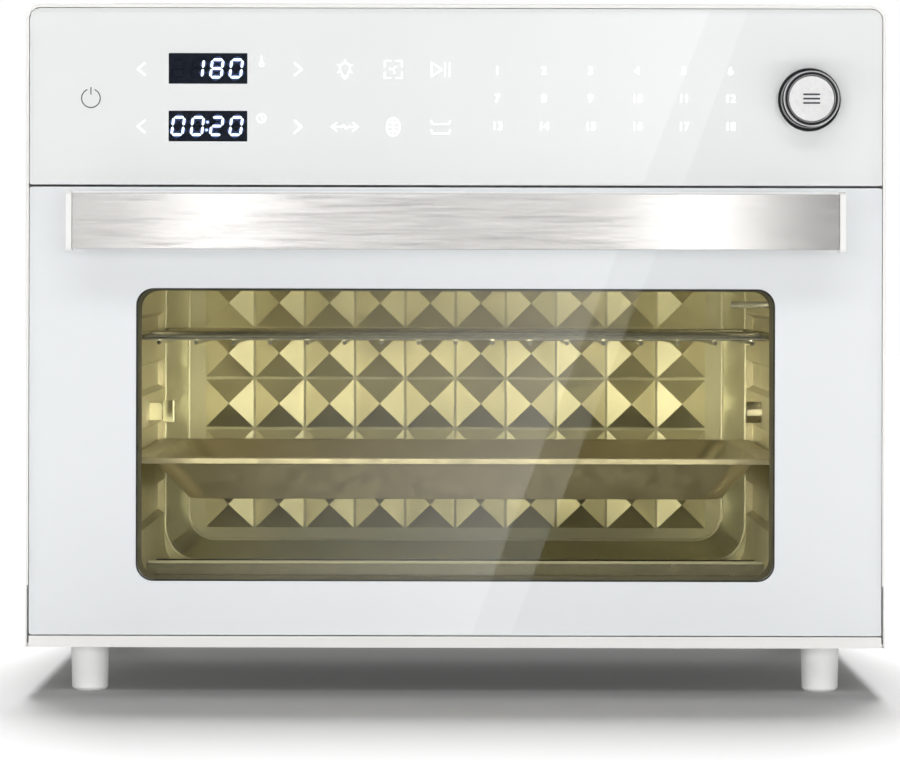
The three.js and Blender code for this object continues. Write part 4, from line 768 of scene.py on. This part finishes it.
def bulb_mark(x, z):
    radius, rise = 2.9, 0.6
    marks = open_ring(x, z + rise, radius, pen, -0.6, 2.6, 24)
    marks += strokes(x, z, [(-1.5, -2.3), (-1.5, -3.6)], [(1.5, -2.3), (1.5, -3.6)])
    marks += strokes(x, z, [(-1.5, -3.9), (1.5, -3.9)], [(-0.9, -5.0), (0.9, -5.0)])
    for turn in (-0.35, 0.3, 1.0, 1.7, 2.35):
        out = direction(turn)
        marks += strokes(x, z + rise, [out * (radius + 0.9), out * (radius + 1.9)], width=thin_pen)
    return marks


def frame_mark(x, z):
    """Four corners round a small fan of three blades."""
    half, gap = 4.8, 1.4
    marks = []
    for u in (-1, 1):
        for v in (-1, 1):
            marks += strokes(x, z, [(u * gap, v * half), (u * half, v * half), (u * half, v * gap)])
    for k in range(3):
        out = direction(k * 4 / 3 + 0.4)
        side = Vector((-out.y, out.x))
        marks += strokes(x, z, [out * 0.5, out * 1.6 + side * 0.7, out * 2.4], width=thin_pen)
    return marks


def play_mark(x, z):
    half, left = 3.8, -5.2
    outline = [(left, half), (left + 6.0, 0), (left, -half), (left, half), (left + 1.4, half * 0.77)]
    bars = [[(u, half), (u, -half)] for u in (2.4, 5.0)]
    return strokes(x, z, outline, *bars, width=thin_pen * 1.15)


def spit_mark(x, z):
    half = 7.4
    marks = strokes(x, z, [(-half, 0), (-1.6, 0), (-0.6, 1.0), (0.6, -1.0), (1.6, 0), (half, 0)])
    for side in (-1, 1):
        barb = side * (half - 3.0)
        marks += strokes(x, z, [(barb, 2.4), (side * half, 0), (barb, -2.4)], width=thin_pen)
    return marks


def basket_mark(x, z):
    """A drum of mesh: an upright oval with bars across it."""
    wide, high = 3.7, 4.9
    marks = strokes(x, z, [(wide * u, high * v) for u, v in arc(0, 0, 1, 0, nearly_closed, 64)])
    for rise in (-2.4, 0, 2.4):
        reach = wide * math.sqrt(1 - (rise / high) ** 2)
        marks += strokes(x, z, [(-reach, rise), (reach, rise)], width=thin_pen)
    return marks + strokes(x, z, [(0, -high), (0, high)], width=thin_pen)


def pair_mark(x, z):
    """Two shelves, one above the other."""
    shelf = [(-5.4, 1.2), (-4.6, -1.0), (4.6, -1.0), (5.4, 1.2)]
    return strokes(x, z - 2.6, shelf) + strokes(x, z + 2.6, shelf)


def thermometer_mark(x, z):
    return open_ring(x, z - 1.4, 1.2, thin_pen) + strokes(x, z, [(0, -0.2), (0, 3.2)])


def clock_mark(x, z):
    return open_ring(x, z, 2.4, thin_pen) + strokes(x, z, [(0, 1.5), (0, 0), (1.2, -0.7)], width=thin_pen)


def mark_form(outlines):
    form = Form()
    for outline in outlines:
        form.plate(outline, mark_y - mark_thickness, mark_y)
    return form


def make_marks():
    marks = []
    for row in (upper_row, lower_row):
        marks += arrow(left_arrow_x, row, -1) + arrow(right_arrow_x, row, 1)
    marks += bulb_mark(bulb_x, upper_row) + frame_mark(frame_x, upper_row) + play_mark(play_x, upper_row)
    marks += spit_mark(bulb_x, lower_row) + basket_mark(frame_x, lower_row) + pair_mark(play_x, lower_row)
    marks += thermometer_mark(unit_x, unit_upper) + clock_mark(unit_x, unit_lower)
    mark_form(marks).make("panel_marks", mark_glow, "cabinet", "front_glass")
    power = open_ring(*power_place, power_radius, power_pen, 1.25, 4.75)
    power += strokes(*power_place, [(0, power_radius * 1.2), (0, power_radius * 0.4)], width=power_pen)
    mark_form(power).make("power_mark", mark_ink, "cabinet", "front_glass")


def make_numbers():
    """Plain numbers in a grid, where the object has the names of its programmes."""
    for row in range(grid_rows):
        for column in range(grid_columns):
            number = row * grid_columns + column + 1
            text = bpy.data.curves.new("number", "FONT")
            text.body = str(number)
            text.size = number_height * MM
            text.align_x = "CENTER"
            text.align_y = "CENTER"
            text.extrude = mark_thickness / 2 * MM
            place = (grid_left + column * grid_pitch_x, mark_y, grid_top - row * grid_pitch_z)
            piece_of_curve(f"number_{number:02d}", text, place, mark_glow, "cabinet")


make_marks()
make_numbers()


# Knob: a chrome ring with a rolled foot, and a dished cap with three engraved lines. Thin black rings on the
# flat faces of the foot and the ring are painted dark reflection in the chrome
knob_steps = 96
ring_profile = [
    (0, 0.3), (17.6, 0.3), (17.9, 0.45), (18.0, 0.8), (17.97, 1.15), (17.8, 1.42), (17.5, 1.5), (15.9, 1.5),
    (15.7, 1.56), (15.55, 1.7), (15.5, 1.95), (15.5, 15.9), (15.44, 16.4), (15.28, 16.85), (15.0, 17.15),
    (14.6, 17.25), (13.5, 17.25), (13.25, 17.15), (13.1, 16.9), (13.0, 16.4), (13.0, 11.0), (0, 11.0),
]
cap_profile = [
    (0, 12.3), (12.4, 12.3), (12.6, 12.6), (12.65, 16.2), (12.55, 16.6), (12.3, 16.85), (11.9, 16.9),
    (11.5, 16.8), (10, 16.62), (8, 16.5), (5, 16.4), (0, 16.36),
]
# Black rings laid on the flat front of the foot and of the ring: painted dark reflection
foot_dark_reflection = (15.95, 17.45, 1.5)
inner_dark_reflection = (13.35, 14.55, 17.25)
line_rise = 0.05
cap_line_half = 4.75
cap_line_pitch = 2.4
cap_line_width = 0.95
cap_line_radius = 0.455
cap_line_reach = 16.55
cap_line_depth = 0.3


def make_knob():
    low, high = box("knob_ring")
    middle_x, middle_z = (low.x + high.x) / 2, (low.z + high.z) / 2
    centre, forward = (middle_x, front, middle_z), (0, -1, 0)
    ring = Form().turned(ring_profile, centre, forward, knob_steps)
    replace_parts(ring.make("knob_chrome_ring", polished, "knob", "chrome", smooth=50), "knob_ring")
    # Each ring is a thin black sheet on a flat face of the chrome, a painted dark reflection
    for name, inner, outer, reach in (("knob_foot_line", *foot_dark_reflection), ("knob_inner_line", *inner_dark_reflection)):
        outline = rectangle(outer, inner, reach, reach + line_rise)
        line = Form().skin([
            [(middle_x + r * math.cos(a), front - d, middle_z + r * math.sin(a)) for r, d in outline]
            for a in [math.tau * k / knob_steps for k in range(knob_steps)]
        ], closed=True)
        line.make(name, dark_reflection_black, "knob", "black_plastic", smooth=40)
    cap = Form().turned(cap_profile, centre, forward, knob_steps)
    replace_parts(cap.make("knob_dished_cap", cap_steel, "knob_button", "brushed_steel", smooth=50), "knob_cap")
    form = Form()
    for k in (-1, 0, 1):
        z = middle_z + k * cap_line_pitch
        outline = rounded_outline(
            middle_x - cap_line_half, middle_x + cap_line_half,
            z - cap_line_width / 2, z + cap_line_width / 2, cap_line_radius, 6,
        )
        form.plate(outline, front - cap_line_reach, front - cap_line_reach + cap_line_depth)
    form.make("knob_lines", mark_ink, "knob_button", "black_plastic")


make_knob()


# Handle: a bowed white rail with a brushed steel face let into it
face_thickness = 1.4
face_edge = 0.45
face_inset = 0.3
rail_edge = 0.8
rail_gap = 0.02
rail_lip = 1.5
bow = 5.0
bow_steps = 72


def make_handle():
    low, high = box("handle_bar")
    cap_high = box("handle_cap_right")[1]

    def bowed(outline):
        xs = [high.x * (2 * k / bow_steps - 1) for k in range(bow_steps + 1)]
        return Form().skin([
            [(x, low.y + bow * (x / cap_high.x) ** 2 + u, v) for u, v in outline] for x in xs
        ])

    steel = bowed(rounded_outline(0, face_thickness, low.z, high.z, face_edge, 4))
    face = steel.make("handle_face", handle_steel, "door", "brushed_steel", smooth=40)
    depth = high.y - low.y - bow * (high.x / cap_high.x) ** 2
    top = min(cap_high.z - face_inset, high.z + rail_lip)
    rail = bowed(rounded_outline(face_thickness + rail_gap, depth, low.z + face_inset, top, rail_edge, 4))
    rail.make("handle_rail", plastic, "door", "white_plastic", smooth=40)
    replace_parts(face, "handle_bar")


make_handle()


# Inside the cavity: pressed edges that catch the light and the rolled lip of the crumb tray, both in a steel
# lighter than their own, so that their highlight is partly painted; the spit rest
rim_half_width = 184.2
rim_low = 53.3
rim_high = 242.4
rim_radius = 21.6
recess_front = front + 316.3
recess_back = front + 330.4
recess_radius = 17.0
recess_margins = (13.8, 12.4, 4.4)
bead_radius = 0.9
lip_radius = 1.2
plate_thickness = 1.2


def make_beads():
    """The bends round the recess of the rear panel and round its face, in a lighter steel: a painted highlight
    on top of their real shine.
    """
    rim = (-rim_half_width, rim_half_width, rim_low, rim_high)
    side, rise, drop = recess_margins
    face = (rim[0] + side, rim[1] - side, rim[2] + rise, rim[3] - drop)
    for name, (u0, u1, v0, v1), radius, depth in (
        ("recess_rim_bead", rim, rim_radius, recess_front),
        ("recess_face_bead", face, recess_radius, recess_back),
    ):
        inset = bead_radius / 2
        path = rounded_outline(u0 + inset, u1 - inset, v0 + inset, v1 - inset, radius, 8)
        bead = Form().tube([(u, depth, v) for u, v in path], bead_radius, 10, closed=True)
        bead.make(name, edge_highlight_steel, "cabinet", "cavity_steel", smooth=60)


def make_lip():
    """The front lip of the crumb tray ends in a rolled edge, in a steel much lighter than the tray's: a painted
    highlight.
    """
    low, high = box("crumb_tray")
    y, z = low.y + lip_radius, high.z + lip_radius / 3
    path = [(x, y, z) for x in (low.x + lip_radius, 0, high.x - lip_radius)]
    roll = Form().tube(path, lip_radius, 12)
    roll.make("crumb_tray_roll", edge_highlight_steel, "cabinet", "cavity_steel", smooth=60)


def make_spit_rest():
    """Two bent plates side by side, the inner one in front of the outer one."""
    low, high = box("spit_bracket")
    middle = (low.x + high.x) / 2
    t = plate_thickness
    form = Form()
    form.box((low.x, low.y, low.z + t), (middle - t / 2, low.y + t, high.z - t))
    form.box((middle - t, low.y, low.z + t), (middle, high.y, high.z - 2 * t))
    form.box((middle + t / 2, low.y + 2 * t, low.z), (high.x, low.y + 3 * t, high.z))
    form.box((high.x - t, low.y + 2 * t, low.z), (high.x, high.y, high.z))
    form.box((low.x, high.y - t, low.z + t), (high.x, high.y, low.z + 4 * t))
    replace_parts(form.make("spit_rest", panel_steel, "cabinet", "wire_steel", bevel=0.25), "spit_bracket")


make_beads()
make_lip()
make_spit_rest()


# Solids of the model that keep their shape
def dress_solids():
    for nodes, material, bevel, smooth in (
        ("outer_housing base_plate rear_cover", enamel, 0.35, 35),
        ("front_frame fan_chamber fan_motor spit_motor", zinc, 0.3, 35),
        ("hinge_bracket_left hinge_bracket_right hinge_arm_left hinge_arm_right", zinc, 0.25, 35),
        ("hinge_pin_left hinge_pin_right encoder_shaft motor_shaft", zinc, 0.1, 40),
        ("rotary_encoder lamp_holder hot_air_fan cooling_fan temperature_probe", zinc, 0.12, 40),
        ("cord_gland door_switch switch_plunger", black, 0.3, 40),
        ("rear_spacer_left rear_spacer_right panel_carrier door_surround", plastic, 0.3, 35),
        ("handle_cap_left handle_cap_right", plastic, 0.5, 40),
        ("foot_front_left foot_front_right foot_rear_left foot_rear_right", lightened_foot_plastic, 0.4, 40),
        ("handle_post_left handle_post_right", handle_steel, 0.3, 40),
        ("cavity_liner cavity_ceiling", liner_steel, 0.3, 35),
        ("crumb_tray", painted_shade_crumb_steel, 0.3, 35),
        ("door_inner_panel", dull_steel, 0.3, 35),
        ("cavity_rear_panel", panel_steel, 0.5, 30),
        ("spit_drive_socket", wire_steel, 0.25, 40),
        ("wire_rack", wire_steel, 0, 60),
        ("baking_tray", tray_finish, 0.4, 40),
        ("upper_heater lower_heater_front lower_heater_rear", heater, 0, 60),
        ("control_board", board, 0.1, 35),
        ("control_glass door_outer_glass", pane_glass, 0.15, 35),
        ("door_inner_glass", tinted_glass, 0.3, 35),
        ("lamp_cover lamp_bulb", bulb_glass, 0, 60),
    ):
        for node in nodes.split():
            dress(node, material, bevel, smooth)


dress_solids()


# Stage: a pale floor, white surroundings, soft lamps and the cards that metal and glass mirror.
# Lamps are placed and measured in metres.
seen_level = 1.0
mirrored_level = 0.45
ambient_level = 0.26
floor_side = 9
floor_tone = 0.5
bounce_tone = 0.3
floor_glow = 0.03
glow_start = 0.55
glow_end = 1.1
floor_power = 1050
back_power = 90
card_distance = 4300
card_scale = 1 + card_distance / eye_distance
line_top = (143.6, 388.5)
line_bottom = (8.0, 31.4)
glass_card_low = -60
glass_card_high = 470
glass_card_side = 330
glass_shine = 1.15
shine_reach = 170
dark_card_low = 20
dark_card_high = 400
dark_card_side = 250
dark_card_gap = 100
handle_shine = (
    (-240, -156, 1.9), (-156, -116, 7.0), (-116, -10, 2.7), (-10, 114, 2.2), (114, 158, 6.0),
    (158, 176, 1.0), (176, 240, 0.25),
)
handle_shine_angles = {"high": (6.8, 24), "low": (-24, -8.8)}
low_card_side = 600
low_card_reach = (-350, -20)
low_card_shine = 0.6
softbox_distance = 1.25
softbox_width = 1.4
softbox_height = 0.9
softbox_power = 125
cavity_pieces = (
    "cavity_liner", "cavity_ceiling", "cavity_rear_panel", "baking_tray", "wire_rack", "spit_drive_socket",
    "temperature_probe", "upper_heater", "lower_heater_front", "lower_heater_rear", "spit_rest",
    "recess_rim_bead", "recess_face_bead",
)
handle_pieces = (
    "handle_cap_left", "handle_cap_right", "handle_post_left", "handle_post_right",
    "handle_face", "handle_rail",
)


def light_links(name, pieces, state="INCLUDE"):
    """A collection of the pieces that a lamp or card shines on alone, or leaves out."""
    made = bpy.data.collections.new(name)
    for piece in pieces:
        made.objects.link(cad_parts.get(piece) or bpy.data.objects[piece])
    for entry in made.collection_objects:
        entry.light_linking.link_state = state
    return made


def bare_tree(owner, kind):
    """The node tree of a material or world with its output alone, and the input for its shader."""
    owner.use_nodes = True
    tree = owner.node_tree
    tree.nodes.clear()
    return tree, tree.nodes.new(kind).inputs["Surface"]


def make_face(name, corners):
    """One flat face with a bare material: the object, its node tree and the input for its shader."""
    mesh = bpy.data.meshes.new(name)
    mesh.from_pydata(corners, [], [tuple(range(len(corners)))])
    mesh.materials.append(bpy.data.materials.new(name))
    return put_in_scene(name, mesh), *bare_tree(mesh.materials[0], "ShaderNodeOutputMaterial")


def area_lamp(name, place, target, width, height, power, receivers=None, glossy=False):
    data = bpy.data.lights.new(name, "AREA")
    data.shape = "RECTANGLE"
    data.size = width
    data.size_y = height
    data.energy = power
    lamp = put_in_scene(name, data)
    lamp.location = place
    lamp.rotation_euler = (Vector(target) - Vector(place)).to_track_quat("-Z", "Y").to_euler()
    lamp.visible_camera = False
    lamp.visible_glossy = glossy
    lamp.visible_diffuse = not glossy
    lamp.visible_transmission = False
    lamp.light_linking.receiver_collection = receivers
    return lamp


def make_floor():
    """Lamps for the floor alone keep it white up to the shadow, with no more light on the object."""
    corners = [(x, y, 0) for x, y in rectangle(-floor_side, floor_side, -floor_side, floor_side)]
    floor, tree, surface = make_face("floor", corners)
    seen, bounced = [
        add_node(tree, "ShaderNodeBsdfDiffuse", Color=(tone, tone, tone, 1)).outputs["BSDF"]
        for tone in (floor_tone, bounce_tone)
    ]
    place = add_node(tree, "ShaderNodeTexCoord").outputs["Object"]
    length = add_node(tree, "ShaderNodeVectorMath", operation="LENGTH")
    far = add_node(tree, "ShaderNodeMapRange", From_Min=glow_start, From_Max=glow_end, To_Min=floor_glow)
    bright = add_node(tree, "ShaderNodeEmission")
    both = add_node(tree, "ShaderNodeAddShader")
    tree.links.new(place, length.inputs[0])
    tree.links.new(length.outputs["Value"], far.inputs["Value"])
    tree.links.new(far.outputs["Result"], bright.inputs["Strength"])
    tree.links.new(seen, both.inputs[0])
    tree.links.new(bright.outputs["Emission"], both.inputs[1])
    tree.links.new(light_path_mix(tree, "Is Camera Ray", both.outputs["Shader"], bounced), surface)
    floor.visible_glossy = False
    alone = light_links("floor_alone", ["floor"])
    area_lamp("floor_lamp", (0, 3.3, 5.5), (0, -0.1, 0), 3.0, 5.2, floor_power, alone)
    area_lamp("floor_back_lamp", (0, 3.0, 0.5), (0, 0, 0), 2.0, 0.3, back_power, alone)


def make_world():
    """White to the eye, plain ambient light on the object, and a dim studio in mirrors."""
    world = bpy.data.worlds.new("studio")
    bpy.context.scene.world = world
    tree, surface = bare_tree(world, "ShaderNodeOutputWorld")
    seen, mirrored, ambient = [
        add_node(tree, "ShaderNodeBackground", Strength=level, Color=(1, 1, 1, 1)).outputs["Background"]
        for level in (seen_level, mirrored_level, ambient_level)
    ]
    shader = light_path_mix(tree, "Is Glossy Ray", mirrored, ambient)
    for ray in ("Is Camera Ray", "Is Transmission Ray"):
        shader = light_path_mix(tree, ray, seen, shader)
    tree.links.new(shader, surface)


def make_card(name, corners, strength, fade=None, receivers=None):
    """A glowing card that only mirrors see. It may fade across, and may shine on some pieces alone."""
    card, tree, surface = make_face(name, [Vector(p) * MM for p in corners])
    shine = add_node(tree, "ShaderNodeEmission", Strength=strength)
    if fade:
        slope, start, end = fade
        place = add_node(tree, "ShaderNodeTexCoord").outputs["Object"]
        split = add_node(tree, "ShaderNodeSeparateXYZ")
        lean = add_node(tree, "ShaderNodeMath", operation="MULTIPLY_ADD")
        lean.inputs[1].default_value = -slope
        ramp = add_node(tree, "ShaderNodeMapRange", From_Min=start, From_Max=end, To_Max=strength)
        tree.links.new(place, split.inputs["Vector"])
        tree.links.new(split.outputs["Z"], lean.inputs[0])
        tree.links.new(split.outputs["X"], lean.inputs[2])
        tree.links.new(lean.outputs["Value"], ramp.inputs["Value"])
        tree.links.new(ramp.outputs["Result"], shine.inputs["Strength"])
    tree.links.new(shine.outputs["Emission"], surface)
    for ray in ("camera", "diffuse", "transmission", "volume_scatter", "shadow"):
        setattr(card, f"visible_{ray}", False)
    card.light_linking.receiver_collection = receivers


def mirrored_point(x, z):
    """Where a ray from the camera, mirrored by the front glass at x and z, meets the plane of the cards."""
    return (x * card_scale, front - card_distance, eye_height + (z - eye_height) * card_scale)


def make_glass_card():
    """Its right edge is the straight line that crosses the glass. It fades towards the left."""
    low, high, side = glass_card_low, glass_card_high, glass_card_side
    slope = (line_top[0] - line_bottom[0]) / (line_top[1] - line_bottom[1])
    top = (line_top[0] + (high - line_top[1]) * slope, high)
    bottom = (line_bottom[0] + (low - line_bottom[1]) * slope, low)
    corners = [mirrored_point(*p) for p in ((-side, low), bottom, top, (-side, high))]
    edge = (corners[1][0] - corners[1][2] * slope) * MM
    reach = shine_reach * card_scale * MM
    others = light_links("not_the_handle", ["handle_face"], "EXCLUDE")
    make_card("glass_card", corners, glass_shine, (slope, edge - reach, edge), others)


def make_dark_card():
    """The unlit room behind the photographer, which the flat glass and the chrome ring mirror."""
    corners = rectangle(-dark_card_side, dark_card_side, dark_card_low, dark_card_high)
    behind = Vector((0, -dark_card_gap, 0))
    make_card("dark_card", [Vector(mirrored_point(*p)) + behind for p in corners], 0)


def bow_mirrored(x):
    """Where across the cards the bowed handle mirrors a ray from the camera that meets it at x."""
    half = box("handle_cap_right")[1].x
    angle = math.atan(x / eye_distance) + 2 * math.atan(2 * bow * x / half**2)
    return x + card_distance * math.tan(angle)


def make_handle_cards():
    """Upright strips above and below what the flat glass mirrors. The brushed steel blurs them."""
    steel = light_links("brushed_alone", ["handle_face"])
    for level, angles in handle_shine_angles.items():
        heights = [eye_height + card_distance * math.tan(math.radians(angle)) for angle in angles]
        for number, (left, right, strength) in enumerate(handle_shine):
            strip = rectangle(bow_mirrored(left), bow_mirrored(right), *heights)
            corners = [(x, front - card_distance, z) for x, z in strip]
            make_card(f"handle_card_{number}_{level}", corners, strength, receivers=steel)


def make_low_card():
    """The pale floor close to the oven, as the steel behind the window mirrors it."""
    corners = rectangle(-low_card_side, low_card_side, *low_card_reach)
    make_card("low_card", [(x, front + y, -1) for x, y in corners], low_card_shine)


def make_lamps():
    """Soft lamps for the painted surfaces, and a box at each side for the steel of the cavity to mirror."""
    cavity = light_links("cavity_alone", cavity_pieces)
    handle = light_links("casts_no_low_shadow", handle_pieces, "EXCLUDE")
    area_lamp("top_lamp", (0, 0.78, 2.1), (0, -0.12, 0), 1.5, 1.6, 26)
    area_lamp("front_lamp", (0, -2.4, 0.34), (0, 0, 0.2), 2.4, 0.5, 17)
    low_lamp = area_lamp("low_lamp", (0, -1.0, 0.03), (0, 0, 0.08), 2.4, 0.05, 4.0)
    low_lamp.light_linking.blocker_collection = handle
    area_lamp("upper_lamp", (0, -2.2, 1.7), (0, 0, 0.25), 2.0, 0.6, 14)
    for side in (-1, 1):
        place = (side * softbox_distance, -1.0, 0.3)
        softbox = (softbox_width, softbox_height, softbox_power)
        area_lamp(f"softbox_{side + 2}", place, (0, -0.1, 0.2), *softbox, cavity, glossy=True)


make_floor()
make_world()
make_glass_card()
make_dark_card()
make_handle_cards()
make_low_card()
make_lamps()

bpy.context.scene.view_settings.view_transform = "Standard"
